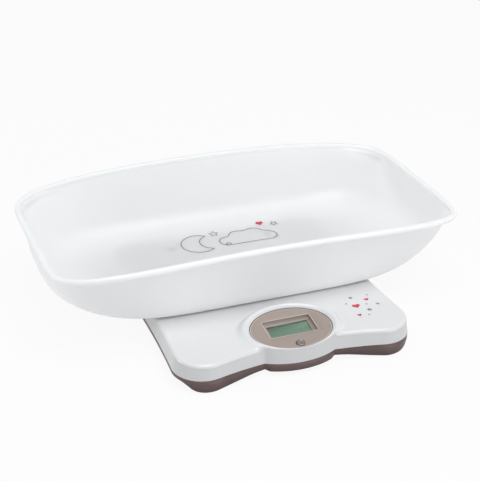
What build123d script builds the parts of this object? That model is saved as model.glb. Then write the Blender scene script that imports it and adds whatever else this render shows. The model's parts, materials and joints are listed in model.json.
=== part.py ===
from build123d import *
from math import cos, pi, radians, sin, tan
import os

os.makedirs("parts", exist_ok=True)

# Digital baby weighing scale. It stands on z = 0, its display faces -Y and its length runs
# along X. The origin is under the middle of the whole scale. All sizes are in millimetres.

# Weighing tray: a long bowl with bulging ends and a rolled rim that dips towards the ends.
tray_length = 563.5
tray_depth = 313.0
tray_setback = 66.5  # how far the tray's middle lies behind the base's middle
rim_height = 138.0  # top of the rim at the middle of the long sides
rim_drop = 15.0  # how much lower the rim is at the ends
rim_width = 10.0
rim_flare = 6.0  # how far the rim stands out beyond the wall
rim_flare_power = 8  # how late the wall turns out into the rim
rim_round = 2.5
tray_wall = 3.0
tray_floor_length = 336.0
tray_floor_depth = 232.0
tray_end_bulge = 3.4  # power of the curve that the end walls follow, 1 being straight
tray_side_bulge = 1.2
tray_inner_turn = 26.0  # radius of the turn from the walls to the floor
tray_outer_turn = 9.0
# Every level is a ring |x/a|^n + |y/b|^m = 1. The powers n and m are given at the floor and at the rim.
side_power = (6.3, 3.6)
end_power = (2.0, 7.4)

# Base: two shells with four round lobes, hollow sides between them and an oval pod in front.
base_width = 316.0
base_depth = 336.0
base_height = 40.0
lobe_radius = 38.0
side_dip = 5.0  # how far the sides curve in between the lobes
front_dip = 14.5  # how far the front and back curve in between the lobes
parting_height = 18.0  # where the upper and the lower shell meet
shell_wall = 2.5
side_draft = 8.0  # degrees
top_round = 5.0
ground_gap = 1.0  # the lobes' undersides stay this far above the floor
arch_height = 7.5  # underside of the base between the lobes
arch_slope = 45.0  # length of the curve from a lobe's underside up to the arch
arch_inset = 19.0  # the curve starts this far inside the lobes' centres
hem_height = 13.5  # the skirt's edge is raised to here along the sides
hem_reach = 43.0  # it starts to rise this far beyond the lobes' centres
hem_slope = 28.0  # length of the curve up to the raised edge
hem_inset = 18.0  # the underside slopes down over this width inside the raised edge

# Display pod: an oval collar around a sloping oval panel.
pod_half_width = 67.5
pod_front_reach = 43.5
pod_back_reach = 55.0
collar_rise = 1.6  # the collar stands this far above the panel
collar_shoulder = 6.0
collar_bevel = 5.5
collar_front_width = 3.5
panel_tilt = 8.0  # degrees
panel_rise = 2.0  # middle of the panel above the top of the base
panel_half_width = 54.0
panel_half_depth = 39.0
bezel_thickness = 2.2
bezel_round = 0.5
bezel_clearance = 0.2
ledge_thickness = 1.8
ledge_side_width = 3.0
ledge_front_width = 1.4

# Display: a recessed window with the lens, the glass panel and the board stacked under it.
recess_width = 64.0
recess_height = 32.0
recess_offset = 4.0  # the window's middle lies this far up the panel
recess_depth = 5.0
recess_wall = 1.4
recess_corner = 1.5
recess_bevel = 0.5
window_width = 55.0
window_height = 23.0
lens_thickness = 1.0
lens_margin = 2.5
glass_width = 62.0
glass_height = 30.0
glass_thickness = 2.8
strip_height = 2.5
strip_width = 2.0
holder_wall = 2.8
holder_gap = 0.2
board_width = 89.0
board_height = 40.0
board_middle = 6.0
board_corner = 2.0
board_tongue_width = 30.0
board_tongue_margin = 1.5
board_thickness = 1.6
board_post_x = 39.5
board_post_middle = -1.0
board_post_spacing = 18.0
board_post_radius = 3.0
chip_size = 12.0
chip_height = 1.6
chip_chamfer = 0.8
capacitor_radius = 2.5
capacitor_height = 5.5

# Tare button, its silicone dome and its travel along the panel's normal.
button_radius = 5.2
button_offset = -30.5  # along the panel's slope
button_rise = 1.8
button_gap = 0.2  # between the flange and the bezel
button_clearance = 0.15
button_flange_radius = 6.2
button_flange_thickness = 1.2
button_stem_radius = 2.0
button_dish = 0.9
button_dish_radius = 10.5
button_dish_reach = 4.2
button_edge = 0.8
dome_radius = 5.5
dome_height = 3.0
dome_base_height = 1.0
dome_skin = 0.6
dome_top_radius = 2.6

# Feet: rubber pad, plunger, strain-gauge plate and clamp, one stack in each lobe.
foot_radius = 15.0
foot_thickness = 3.0
foot_chamfer = 0.8
foot_groove_radius = 9.0
foot_groove_width = 1.5
plunger_radius = 15.6
plunger_thickness = 4.0
plunger_nub_radius = 4.0
well_clearance = 0.5
well_wall = 3.2
well_top = 10.0
cell_size = 35.0
cell_thickness = 2.0
cell_slot = 2.4
cell_frame = 5.0
clamp_size = 39.0
clamp_opening = 26.0
clamp_thickness = 3.0
clamp_ear_radius = 4.2
clamp_ear_reach = 27.0
clamp_post_radius = 3.5
wire_notch = 4.0
wire_notch_reach = 13.0

# Screws: thread core radius, head radius, head height.
screw_radius = 1.5
screw_head_radius = 2.8
screw_head_height = 2.0
screw_clearance = 0.05
screw_end_gap = 1.0
head_clearance = 0.2
case_screw_length = 18.0
short_screw_length = 6.0
case_pillar_radius = 4.5
case_boss_radius = 4.0
case_inset = 18.5
case_back_inset = 13.0
case_pillar_top = 20.0
case_head_seat = 12.0

# Pegs under the tray and the sockets that they stand in.
peg_radius = 6.0
peg_length = 8.5
peg_lead = 1.0
peg_clearance = 0.3
peg_spread_x = 144.0
peg_spread_y = 114.0
socket_wall = 2.5
socket_floor = 1.6

# Batteries, their contacts, their box and its sliding door.
battery_radius = 7.1
battery_length = 50.5
battery_nub_radius = 2.75
battery_nub_length = 1.3
battery_pitch = 14.8
battery_gap = 0.3
battery_round = 0.6
battery_count = 4
battery_spring_length = 5.5
battery_spring_radius = 4.0
spring_wire_radius = 0.4
spring_turns = 3
contact_thickness = 0.5
contact_height = 11.0
box_wall = 1.6
door_plate = 1.5
door_flange = 1.4
door_flange_width = 3.0
door_clearance = 0.3
door_tab_height = 5.6
door_tab_thickness = 2.0
grip_distance = 12.0
grip_pitch = 2.6
grip_count = 5
grip_width = 1.2
grip_height = 0.6
rail_width = 3.0
rail_height = 5.0

# Wires and their connectors under the board.
wire_radius = 1.0
power_wire_radius = 0.8
wire_exit = 24.0  # a wire leaves its clamp this far from the foot, in x and in y
wire_bend_share = 0.45
plug_run = 12.0
connector_width = 9.0
connector_depth = 6.0
connector_height = 5.0
connector_pitch = 15.0

# Places that follow from the sizes above. The whole scale is centred on y = 0.
base_y = -(tray_setback + tray_depth / 2 - base_depth / 2) / 2
tray_y = base_y + tray_setback
front_y = base_y - base_depth / 2
lobe_x = base_width / 2 - lobe_radius
lobe_y = base_depth / 2 - lobe_radius
waist_x = base_width / 2 - side_dip
waist_y = base_depth / 2 - front_dip
rim_edge = rim_height - rim_round
rim_end_edge = rim_edge - rim_drop
pod_y = front_y + pod_front_reach
panel_y = front_y + collar_front_width + panel_half_depth * cos(radians(panel_tilt))
panel_z = base_height + panel_rise
panel = Plane(
    origin=(0, panel_y, panel_z),
    x_dir=(1, 0, 0),
    z_dir=(0, -sin(radians(panel_tilt)), cos(radians(panel_tilt))),
)
pod_shift = (pod_y - panel_y) / cos(radians(panel_tilt))
shell_top_inside = base_height - shell_wall
tray_levels = [0.0, 0.15, 0.35, 0.6, 0.8, 0.92, 1.0]  # shares of the height from a turn up to the rim's ends
turn_steps = 4
ring_steps = 4
tray_floor_top = base_height + tray_wall
trim_height = rim_height + 2.0
rim_reach = tray_length / 2 + 20.0
rim_line_end = rim_height - rim_drop * (2 * rim_reach / tray_length) ** 2
peg_places = [(x * peg_spread_x / 2, tray_y + y * peg_spread_y / 2) for x in (-1, 1) for y in (-1, 1)]
socket_depth = peg_length + 1.0

# Depths under the panel's face, in the order of the stack.
recess_floor = 1.2
lens_depth = recess_depth + recess_floor
glass_depth = lens_depth + lens_thickness
board_depth = glass_depth + glass_thickness + strip_height
plug_depth = board_depth + board_thickness + connector_height / 2
flange_top = bezel_thickness + button_gap
flange_bottom = flange_top + button_flange_thickness
stem_end = board_depth - dome_height

# Places on the panel, measured up its slope.
board_far_edge = board_middle + board_height / 2
tongue_end = button_offset - dome_radius - board_tongue_margin
board_post_places = [
    (x * board_post_x, board_post_middle + y * board_post_spacing / 2) for x in (-1, 1) for y in (-1, 1)
]

# Foot stacks, clamp posts and case screws.
well_radius = plunger_radius + well_clearance
cell_top = well_top + cell_thickness
tongue_size = cell_size - 2 * cell_frame - 2 * cell_slot
post_foot = ground_gap + 0.8 * shell_wall
lobe_places = [(x * lobe_x, base_y + y * lobe_y) for x in (-1, 1) for y in (-1, 1)]
side_posts = [(x * (lobe_x - clamp_ear_reach), base_y + y * lobe_y) for x in (-1, 1) for y in (-1, 1)]
end_posts = [(x * lobe_x, base_y + y * (lobe_y - clamp_ear_reach)) for x in (-1, 1) for y in (-1, 1)]
post_places = side_posts + end_posts

# Battery box, door and rails.
box_half = (battery_length + battery_spring_length) / 2 + contact_thickness
box_back = base_y + waist_y - 2 * shell_wall - box_wall
box_front = box_back - battery_count * battery_pitch - 2 * door_clearance
door_half = box_half + box_wall
door_top = arch_height + door_plate + door_flange
door_start = box_front - box_wall + door_clearance
door_end = base_y + waist_y - door_clearance
groove_half = door_half + door_flange_width + door_clearance
slot_length = door_end + shell_wall - door_start + door_clearance
slot_middle = door_start - door_clearance + slot_length / 2
rail_end = base_y + waist_y - shell_wall / 2
battery_z = door_top + battery_gap + battery_radius
box_top = battery_z + battery_radius + battery_gap
battery_middle = (box_front + box_back) / 2
battery_rows = [battery_middle + (n - (battery_count - 1) / 2) * battery_pitch for n in range(battery_count)]
battery_flat_end = battery_spring_length + contact_thickness - box_half
coil_height = battery_spring_length - 2 * spring_wire_radius

# Case screws: a pair in front of the deck, one at each side and a pair beside the battery box.
case_back_y = base_y + waist_y - shell_wall - case_back_inset
case_rows = [
    (pod_half_width + case_pillar_radius, pod_y + pod_back_reach + case_pillar_radius),
    (waist_x - shell_wall - case_inset, base_y),
    (groove_half + rail_width + case_inset - case_pillar_radius, case_back_y),
]
case_places = [(x * case_x, case_y) for case_x, case_y in case_rows for x in (-1, 1)]

# Wire heights and where a wire leaves its load cell.
wire_floor = cell_top + wire_radius
wire_start = tongue_size / 4

corners = [
    ("front_left", -1, -1),
    ("front_right", 1, -1),
    ("back_left", -1, 1),
    ("back_right", 1, 1),
]


def ring_points(half_length, half_depth, n, m):
    # Points on the ring |x/a|^n + |y/b|^m = 1, closer together towards its corners. They run along
    # the long side by x and along the end by y, and meet where both terms are one half.
    shares = [sin(pi / 2 * step / ring_steps) for step in range(ring_steps + 1)]
    side = [(half_length * 0.5 ** (1 / n) * q, half_depth * (1 - 0.5 * q**n) ** (1 / m)) for q in shares]
    end = [(half_length * (1 - 0.5 * q**m) ** (1 / n), half_depth * 0.5 ** (1 / m) * q) for q in shares[:-1]]
    quarter = end + side[:0:-1]
    points = quarter + [(-x, y) for x, y in [side[0]] + quarter[:0:-1]]
    return points + [(-x, -y) for x, y in points]


def tray_ring(height, inset, inner):
    # Outline of the tray at one height. Its length and depth grow from the floor in power curves,
    # and turn out into the rim. An inner ring leaves the wall's thickness inside the outer one.
    side_share = min(1.0, (height - base_height) / (rim_edge - base_height))
    end_share = min(1.0, (height - base_height) / (rim_end_edge - base_height))
    half_sizes = []
    for floor_size, rim_size, share, power in (
        (tray_floor_length, tray_length, end_share, tray_end_bulge),
        (tray_floor_depth, tray_depth, side_share, tray_side_bulge),
    ):
        bulge = (1 - (1 - share) ** power) ** (1 / power)
        wall_size = floor_size + (rim_size - 2 * rim_flare - floor_size) * bulge
        flare = share**rim_flare_power
        thickness = tray_wall + (rim_width - tray_wall) * flare if inner else 0.0
        half_sizes.append(wall_size / 2 + rim_flare * flare - thickness - inset)
    n = side_power[0] + (side_power[1] - side_power[0]) * side_share**2
    m = end_power[0] + (end_power[1] - end_power[0]) * side_share**2
    with BuildSketch() as outline:
        with BuildLine():
            Spline(*ring_points(*half_sizes, n, m), periodic=True)
        make_face()
    return outline.sketch


def tray_body(floor_height, turn, inner):
    # Stack of rings from the floor up to above the rim, with a round turn at the floor's edge.
    angles = [pi / 2 * step / turn_steps for step in range(turn_steps)]
    levels = [(floor_height + turn * (1 - cos(angle)), turn * (1 - sin(angle))) for angle in angles]
    start = floor_height + turn
    levels += [(start + (rim_end_edge - start) * share, 0.0) for share in tray_levels]
    levels += [((rim_end_edge + rim_edge) / 2, 0.0), (rim_edge, 0.0), (trim_height, 0.0)]
    with BuildPart() as body:
        for height, inset in levels:
            with BuildSketch(Plane.XY.offset(height)):
                with Locations((0, tray_y)):
                    add(tray_ring(height, inset, inner))
        loft()
    return body.part


def dip_radius(reach, spread):
    # Radius of the hollow arc that joins two lobes a spread to each side of the middle.
    # The arc touches both lobes and passes a reach beyond the line between their centres.
    return (reach**2 + spread**2 - lobe_radius**2) / (2 * (lobe_radius - reach))


def base_outline(inset):
    # Four lobes joined by hollow arcs, all of them moved inwards by the inset.
    side_radius = dip_radius(waist_x - lobe_x, lobe_y)
    front_radius = dip_radius(waist_y - lobe_y, lobe_x)
    lobe = Vector(lobe_x, lobe_y)
    to_side = (Vector(waist_x + side_radius, 0) - lobe).normalized()
    to_front = (Vector(0, waist_y + front_radius) - lobe).normalized()
    radius = lobe_radius - inset
    side_end = lobe + to_side * radius
    lobe_tip = lobe + (to_side + to_front).normalized() * radius
    front_end = lobe + to_front * radius
    with BuildSketch() as outline:
        with BuildLine():
            for x in (-1, 1):
                for y in (-1, 1):
                    ThreePointArc(
                        (x * side_end.X, y * side_end.Y),
                        (x * lobe_tip.X, y * lobe_tip.Y),
                        (x * front_end.X, y * front_end.Y),
                    )
            for x in (-1, 1):
                ThreePointArc(
                    (x * side_end.X, -side_end.Y), (x * (waist_x - inset), 0), (x * side_end.X, side_end.Y)
                )
            for y in (-1, 1):
                ThreePointArc(
                    (-front_end.X, y * front_end.Y),
                    (0, y * (waist_y - inset)),
                    (front_end.X, y * front_end.Y),
                )
        make_face()
    return outline.sketch


def pod_outline(half_width, front_reach, back_reach):
    # Two half ellipses of one width, the back one deeper than the front one.
    with BuildSketch() as outline:
        with BuildLine():
            EllipticalCenterArc((0, 0), half_width, back_reach, 0, arc_size=180)
            EllipticalCenterArc((0, 0), half_width, front_reach, 180, arc_size=180)
        make_face()
    return outline.sketch


def arch_profile(half_span, slope, high, lift):
    # Side view of a space under the base: level at the lobes, then a soft S up to the arch.
    low = ground_gap + lift
    high = high + lift
    middle = half_span - slope / 2
    with BuildSketch() as profile:
        with BuildLine():
            outer = TangentArc((half_span, low), (middle, (low + high) / 2), tangent=(-1, 0))
            inner = TangentArc(outer @ 1, (half_span - slope, high), tangent=outer % 1)
            Line(inner @ 1, (0, high))
            mirror(about=Plane.YZ)
            sides = [(-half_span, low), (-half_span, -base_height)]
            Polyline(*sides, *[(-x, y) for x, y in sides[::-1]])
        make_face()
    return profile.sketch


def hem_cut(inset, lift):
    # Space under the raised edge of the skirt. What stays inside it slopes down to the lobes' undersides.
    high = hem_height + lift + hem_height / hem_inset
    with BuildPart() as kept:
        for height, width in ((ground_gap + lift, inset + hem_inset), (high, inset - 1)):
            with BuildSketch(Plane.XY.offset(height)):
                with Locations((0, base_y)):
                    add(base_outline(width))
        loft()
    with BuildPart() as kept_pod:
        for height, width in ((ground_gap + lift, inset + hem_inset), (high, inset - 1)):
            with BuildSketch(Plane.XY.offset(height)):
                with Locations((0, pod_y)):
                    add(pod_outline(pod_half_width - width, pod_front_reach - width, pod_back_reach - width))
        loft()
    with BuildPart() as cut:
        with BuildSketch(Plane.YZ.offset(-base_width)):
            with Locations((base_y, 0)):
                add(arch_profile(lobe_y + hem_reach + inset, hem_slope, hem_height, lift))
        extrude(amount=2 * base_width)
        add(kept.part, mode=Mode.SUBTRACT)
        add(kept_pod.part, mode=Mode.SUBTRACT)
        with BuildSketch(Plane.XY.offset(-base_height)):
            with Locations((0, base_y + lobe_y)):
                Rectangle(2 * (case_rows[2][0] + 2 * case_pillar_radius - inset), base_depth)
        extrude(amount=3 * base_height, mode=Mode.SUBTRACT)
    return cut.part


def skirt_block(inset, lift):
    # Solid of the lower shell: lobes that reach down to the feet, arches between them.
    with BuildPart() as block:
        with BuildSketch(Plane.XY.offset(ground_gap + lift)):
            with Locations((0, base_y)):
                add(base_outline(inset))
            with Locations((0, pod_y)):
                add(pod_outline(pod_half_width - inset, pod_front_reach - inset, pod_back_reach - inset))
        extrude(amount=parting_height - ground_gap - lift)
        with BuildSketch(Plane.XZ.offset(-base_depth)):
            add(arch_profile(lobe_x - arch_inset + inset, arch_slope, arch_height, lift))
        extrude(amount=3 * base_depth, mode=Mode.SUBTRACT)
        with BuildSketch(Plane.YZ.offset(-base_width)):
            with Locations((base_y, 0)):
                add(arch_profile(lobe_y - arch_inset + inset, arch_slope, arch_height, lift))
        extrude(amount=2 * base_width, mode=Mode.SUBTRACT)
        add(hem_cut(inset, lift), mode=Mode.SUBTRACT)
    return block.part


def pod_block():
    # Outer solid of the pod: a slightly tapering wall, then a bevel up to the collar's crest.
    crest = panel.offset(collar_rise)
    shoulder = crest.offset(-collar_shoulder)
    lean = (parting_height - base_height) * tan(radians(side_draft)) / 2
    with BuildPart() as block:
        with BuildSketch(Plane.XY.offset(parting_height)):
            with Locations((0, pod_y)):
                add(pod_outline(pod_half_width, pod_front_reach, pod_back_reach))
        with BuildSketch(shoulder):
            with Locations((0, pod_shift)):
                add(pod_outline(pod_half_width + lean, pod_front_reach + lean, pod_back_reach + lean))
        loft()
        with BuildSketch(shoulder):
            with Locations((0, pod_shift)):
                add(pod_outline(pod_half_width + lean, pod_front_reach + lean, pod_back_reach + lean))
        with BuildSketch(crest):
            with Locations((0, pod_shift)):
                add(
                    pod_outline(
                        pod_half_width - collar_bevel,
                        pod_front_reach - collar_front_width / 2,
                        pod_back_reach - collar_bevel,
                    )
                )
        loft()
    return block.part


def upper_block():
    # Outer solid of the upper shell without the pod.
    with BuildPart() as block:
        with BuildSketch(Plane.XY.offset(parting_height)):
            with Locations((0, base_y)):
                add(base_outline(0))
        extrude(amount=base_height - parting_height, taper=side_draft)
        fillet(block.faces().sort_by(Axis.Z)[-1].edges(), top_round)
    return block.part


def upper_hollow():
    # Space inside the upper shell: one room under the deck and one inside the pod.
    ledge_plane = panel.offset(-bezel_thickness - ledge_thickness)
    pod_inner = (pod_half_width - shell_wall, pod_front_reach - shell_wall, pod_back_reach - shell_wall)
    with BuildPart() as pod_room:
        with BuildSketch(Plane.XY.offset(parting_height)):
            with Locations((0, pod_y)):
                add(pod_outline(*pod_inner))
        extrude(amount=2 * base_height)
        split(bisect_by=ledge_plane, keep=Keep.BOTTOM)
    with BuildPart() as room:
        with BuildSketch(Plane.XY.offset(parting_height)):
            with Locations((0, base_y)):
                add(base_outline(shell_wall))
        extrude(amount=shell_top_inside - parting_height, taper=side_draft)
        fillet(room.faces().sort_by(Axis.Z)[-1].edges(), top_round - shell_wall)
        with BuildSketch(Plane.XY.offset(parting_height)):
            with Locations((0, pod_y)):
                add(pod_outline(*pod_inner))
        extrude(amount=base_height, mode=Mode.SUBTRACT)
        add(pod_room.part)
    return room.part


def screw(length):
    # Screw with its head's seat at z = 0 and its core pointing up.
    with BuildPart() as body:
        with BuildSketch(Plane.XY.offset(-screw_head_height)):
            Circle(screw_head_radius)
        extrude(amount=screw_head_height)
        fillet(body.edges().group_by(Axis.Z)[0], screw_head_height / 3)
        with BuildSketch():
            Circle(screw_radius)
        extrude(amount=length)
        chamfer(body.edges().group_by(Axis.Z)[-1], screw_radius / 2)
        with BuildSketch(Plane.XY.offset(-screw_head_height)):
            Rectangle(screw_head_radius, screw_head_radius / 4)
            Rectangle(screw_head_radius / 4, screw_head_radius)
        extrude(amount=screw_head_height / 2, mode=Mode.SUBTRACT)
    return body.part


def wire(points, radius):
    # Round wire along straight runs. Each arc is as large as the two runs beside it allow.
    spots = [Vector(*point) for point in points]
    bends = []
    for before, here, after in zip(spots, spots[1:], spots[2:]):
        turn = (here - before).get_angle(after - here)
        shorter = min((here - before).length, (after - here).length)
        bends.append(wire_bend_share * shorter / tan(radians(turn / 2)))
    print("wire bends", [round(bend, 1) for bend in bends])
    with BuildPart() as body:
        with BuildLine() as path:
            FilletPolyline(*spots, radius=bends)
        with BuildSketch(Plane(origin=path.line @ 0, z_dir=path.line % 0)):
            Circle(radius)
        sweep()
    print("wire volume", round(body.part.volume / (pi * radius**2 * path.wires()[0].length), 4))
    return body.part


# Weighing tray: outer solid less its hollow, trimmed along the arched rim, with four pegs.
with BuildPart() as tray:
    add(tray_body(base_height, tray_outer_turn, False))
    add(tray_body(tray_floor_top, tray_inner_turn, True), mode=Mode.SUBTRACT)
    with BuildSketch(Plane.XZ.offset(-tray_y - tray_depth)):
        with BuildLine():
            rim_line = ThreePointArc((-rim_reach, rim_line_end), (0, rim_height), (rim_reach, rim_line_end))
            Polyline(rim_line @ 0, (-rim_reach, 2 * rim_height), (rim_reach, 2 * rim_height), rim_line @ 1)
        make_face()
    extrude(amount=2 * tray_depth, mode=Mode.SUBTRACT)
    rim_face = tray.faces().filter_by(GeomType.CYLINDER).sort_by(Axis.Z)[-1]
    fillet(rim_face.edges(), rim_round)
    with BuildSketch(Plane.XY.offset(base_height - peg_length)):
        with Locations(*peg_places):
            Circle(peg_radius)
    extrude(amount=peg_length)
    chamfer(tray.edges().filter_by(GeomType.CIRCLE).group_by(Axis.Z)[0], peg_lead)
tray.part.label = "tray"
export_step(tray.part, "parts/tray.step")

# Upper shell: deck, collar, panel ledge, peg sockets and screw bosses.
with BuildPart() as top_shell:
    add(upper_block())
    add(pod_block())
    add(upper_hollow(), mode=Mode.SUBTRACT)
    with BuildSketch(panel.offset(-bezel_thickness)):
        Ellipse(panel_half_width + bezel_clearance, panel_half_depth + bezel_clearance)
    extrude(amount=base_height, mode=Mode.SUBTRACT)
    with BuildSketch(panel.offset(-bezel_thickness)):
        Ellipse(panel_half_width - ledge_side_width, panel_half_depth - ledge_front_width)
    extrude(amount=-3 * ledge_thickness, mode=Mode.SUBTRACT)
    with BuildSketch(Plane.XY.offset(base_height - socket_depth - socket_floor)):
        with Locations(*peg_places):
            Circle(peg_radius + peg_clearance + socket_wall)
    extrude(amount=socket_depth + socket_floor - shell_wall / 2)
    with BuildSketch(Plane.XY.offset(base_height)):
        with Locations(*peg_places):
            Circle(peg_radius + peg_clearance)
    extrude(amount=-socket_depth, mode=Mode.SUBTRACT)
    with BuildSketch(Plane.XY.offset(case_pillar_top)):
        with Locations(*case_places):
            Circle(case_boss_radius)
    extrude(amount=shell_top_inside - case_pillar_top + shell_wall / 2)
    with BuildSketch(Plane.XY.offset(case_pillar_top)):
        with Locations(*case_places):
            Circle(screw_radius + screw_clearance)
    extrude(amount=case_head_seat + case_screw_length + screw_end_gap - case_pillar_top, mode=Mode.SUBTRACT)
top_shell.part.label = "top_shell"
export_step(top_shell.part, "parts/top_shell.step")

# Lower shell: arched skirt, foot wells, clamp posts, screw pillars, battery box and door rails.
with BuildPart() as bottom_shell:
    add(skirt_block(0, 0))
    add(skirt_block(shell_wall, shell_wall), mode=Mode.SUBTRACT)
    with BuildSketch(Plane.XY.offset(ground_gap)):
        with Locations(*lobe_places):
            Circle(well_radius + well_wall)
    extrude(amount=well_top - ground_gap)
    with BuildSketch():
        with Locations(*lobe_places):
            Circle(well_radius)
    extrude(amount=well_top, mode=Mode.SUBTRACT)
    with BuildSketch(Plane.XY.offset(post_foot)):
        with Locations(*post_places):
            Circle(clamp_post_radius)
    extrude(amount=cell_top - post_foot)
    with BuildSketch(Plane.XY.offset(cell_top)):
        with Locations(*post_places):
            Circle(screw_radius + screw_clearance)
    extrude(amount=clamp_thickness - short_screw_length - screw_end_gap, mode=Mode.SUBTRACT)
    with BuildSketch(Plane.XY.offset(arch_height)):
        with Locations(*case_places):
            Circle(case_pillar_radius)
    extrude(amount=case_pillar_top - arch_height)
    with BuildSketch(Plane.XY.offset(case_pillar_top)):
        with Locations(*case_places):
            Circle(screw_radius + head_clearance)
    extrude(amount=-case_pillar_top, mode=Mode.SUBTRACT)
    with BuildSketch(Plane.XY.offset(case_head_seat)):
        with Locations(*case_places):
            Circle(screw_head_radius + head_clearance)
    extrude(amount=-case_head_seat, mode=Mode.SUBTRACT)
    with BuildSketch(Plane.XY.offset(arch_height)):
        with Locations((0, battery_middle)):
            Rectangle(2 * (box_half + box_wall), box_back - box_front + 2 * box_wall)
    extrude(amount=box_top + box_wall - arch_height)
    with BuildSketch(Plane.XY.offset(arch_height)):
        with Locations((0, (box_front - box_wall + rail_end) / 2)):
            Rectangle(2 * (groove_half + rail_width), rail_end - box_front + box_wall)
    extrude(amount=rail_height)
    with BuildSketch():
        with Locations((0, battery_middle)):
            Rectangle(2 * box_half, box_back - box_front)
    extrude(amount=box_top, mode=Mode.SUBTRACT)
    with BuildSketch():
        with Locations((0, slot_middle)):
            Rectangle(2 * (door_half + door_clearance), slot_length)
    extrude(amount=door_top + door_clearance, mode=Mode.SUBTRACT)
    with BuildSketch(Plane.XY.offset(arch_height + door_plate - door_clearance)):
        with Locations((0, slot_middle)):
            Rectangle(2 * groove_half, slot_length)
    extrude(amount=door_flange + 2 * door_clearance, mode=Mode.SUBTRACT)
    with BuildSketch():
        with Locations((0, door_end)):
            Rectangle(2 * (door_half + door_clearance), 2 * (shell_wall + door_clearance))
    extrude(amount=door_top + door_tab_height + door_clearance, mode=Mode.SUBTRACT)
bottom_shell.part.label = "bottom_shell"
export_step(bottom_shell.part, "parts/bottom_shell.step")

# Battery door: stepped plate that runs in the rails, an end tab that closes the skirt, grip ribs.
with BuildPart() as battery_door:
    with BuildSketch(Plane.XY.offset(arch_height)):
        with Locations((0, (door_start + door_end) / 2)):
            Rectangle(2 * door_half, door_end - door_start)
    extrude(amount=door_plate + door_flange)
    with BuildSketch(Plane.XY.offset(arch_height + door_plate)):
        with Locations((0, (door_start + door_end) / 2)):
            Rectangle(2 * (door_half + door_flange_width), door_end - door_start)
    extrude(amount=door_flange)
    with BuildSketch(Plane.XY.offset(door_top)):
        with Locations((0, door_end - door_tab_thickness / 2)):
            Rectangle(2 * door_half, door_tab_thickness)
    extrude(amount=door_tab_height)
    with BuildSketch(Plane.XY.offset(arch_height)):
        with Locations((0, door_end - grip_distance)):
            with GridLocations(0, grip_pitch, 1, grip_count):
                SlotOverall(door_half, grip_width)
    extrude(amount=-grip_height)
battery_door.part.label = "battery_door"
export_step(battery_door.part, "parts/battery_door.step")

# Display bezel: oval plate, recessed window box, button hole and the posts that carry the board.
with BuildPart() as display_bezel:
    with BuildSketch(panel):
        Ellipse(panel_half_width, panel_half_depth)
    extrude(amount=-bezel_thickness)
    fillet(display_bezel.faces().sort_by(Axis(panel.origin, panel.z_dir))[-1].edges(), bezel_round)
    with BuildSketch(panel.offset(-bezel_thickness / 2)):
        with Locations((0, recess_offset)):
            Rectangle(recess_width + 2 * recess_wall, recess_height + 2 * recess_wall)
        with Locations(*board_post_places):
            Circle(board_post_radius)
    extrude(amount=bezel_thickness / 2 - recess_depth - recess_floor)
    with BuildSketch(panel.offset(-bezel_thickness)):
        with Locations(*board_post_places):
            Circle(board_post_radius)
    extrude(amount=bezel_thickness - board_depth)
    with BuildSketch(panel.offset(-recess_depth)):
        with Locations((0, recess_offset)):
            RectangleRounded(recess_width, recess_height, recess_corner)
    extrude(amount=2 * recess_depth, mode=Mode.SUBTRACT)
    with BuildSketch(panel):
        with Locations((0, recess_offset)):
            bevel_width = recess_width + 2 * recess_bevel
            bevel_height = recess_height + 2 * recess_bevel
            RectangleRounded(bevel_width, bevel_height, recess_corner + recess_bevel)
    extrude(amount=-recess_bevel, taper=45, mode=Mode.SUBTRACT)
    with BuildSketch(panel):
        with Locations((0, recess_offset)):
            Rectangle(window_width, window_height)
        with Locations((0, button_offset)):
            Circle(button_radius + button_clearance)
    extrude(amount=-2 * recess_depth, mode=Mode.SUBTRACT)
    with BuildSketch(panel.offset(-board_depth)):
        with Locations(*board_post_places):
            Circle(screw_radius + screw_clearance)
    extrude(amount=short_screw_length - board_thickness + screw_end_gap, mode=Mode.SUBTRACT)
display_bezel.part.label = "display_bezel"
export_step(display_bezel.part, "parts/display_bezel.step")

# Clear lens under the window.
with BuildPart() as display_lens:
    with BuildSketch(panel.offset(-lens_depth)):
        with Locations((0, recess_offset)):
            Rectangle(window_width + 2 * lens_margin, window_height + 2 * lens_margin)
    extrude(amount=-lens_thickness)
display_lens.part.label = "display_lens"
export_step(display_lens.part, "parts/display_lens.step")

# Liquid-crystal panel: two sheets of glass, the front one shorter, so that its contacts show.
with BuildPart() as lcd_panel:
    with BuildSketch(panel.offset(-glass_depth)):
        with Locations((0, recess_offset)):
            Rectangle(glass_width, glass_height - 2 * strip_width)
    extrude(amount=-glass_thickness / 2)
    with BuildSketch(panel.offset(-glass_depth - glass_thickness / 2)):
        with Locations((0, recess_offset)):
            Rectangle(glass_width, glass_height)
    extrude(amount=-glass_thickness / 2)
lcd_panel.part.label = "lcd_panel"
export_step(lcd_panel.part, "parts/lcd_panel.step")

# Holder that frames the glass and presses it towards the lens.
with BuildPart() as lcd_holder:
    with BuildSketch(panel.offset(-lens_depth)):
        with Locations((0, recess_offset)):
            Rectangle(glass_width + 2 * holder_wall, glass_height + 2 * holder_wall)
            Rectangle(glass_width + 2 * holder_gap, glass_height + 2 * holder_gap, mode=Mode.SUBTRACT)
    extrude(amount=lens_depth - board_depth)
lcd_holder.part.label = "lcd_holder"
export_step(lcd_holder.part, "parts/lcd_holder.step")

# Two rubber strips that carry the contacts from the board to the glass.
with BuildPart() as lcd_contact_strips:
    with BuildSketch(panel.offset(-glass_depth - glass_thickness)):
        with Locations((0, recess_offset)):
            with GridLocations(0, glass_height - 2 * strip_width, 1, 2):
                Rectangle(glass_width - 2 * strip_width, strip_width)
    extrude(amount=-strip_height)
lcd_contact_strips.part.label = "lcd_contact_strips"
export_step(lcd_contact_strips.part, "parts/lcd_contact_strips.step")

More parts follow.
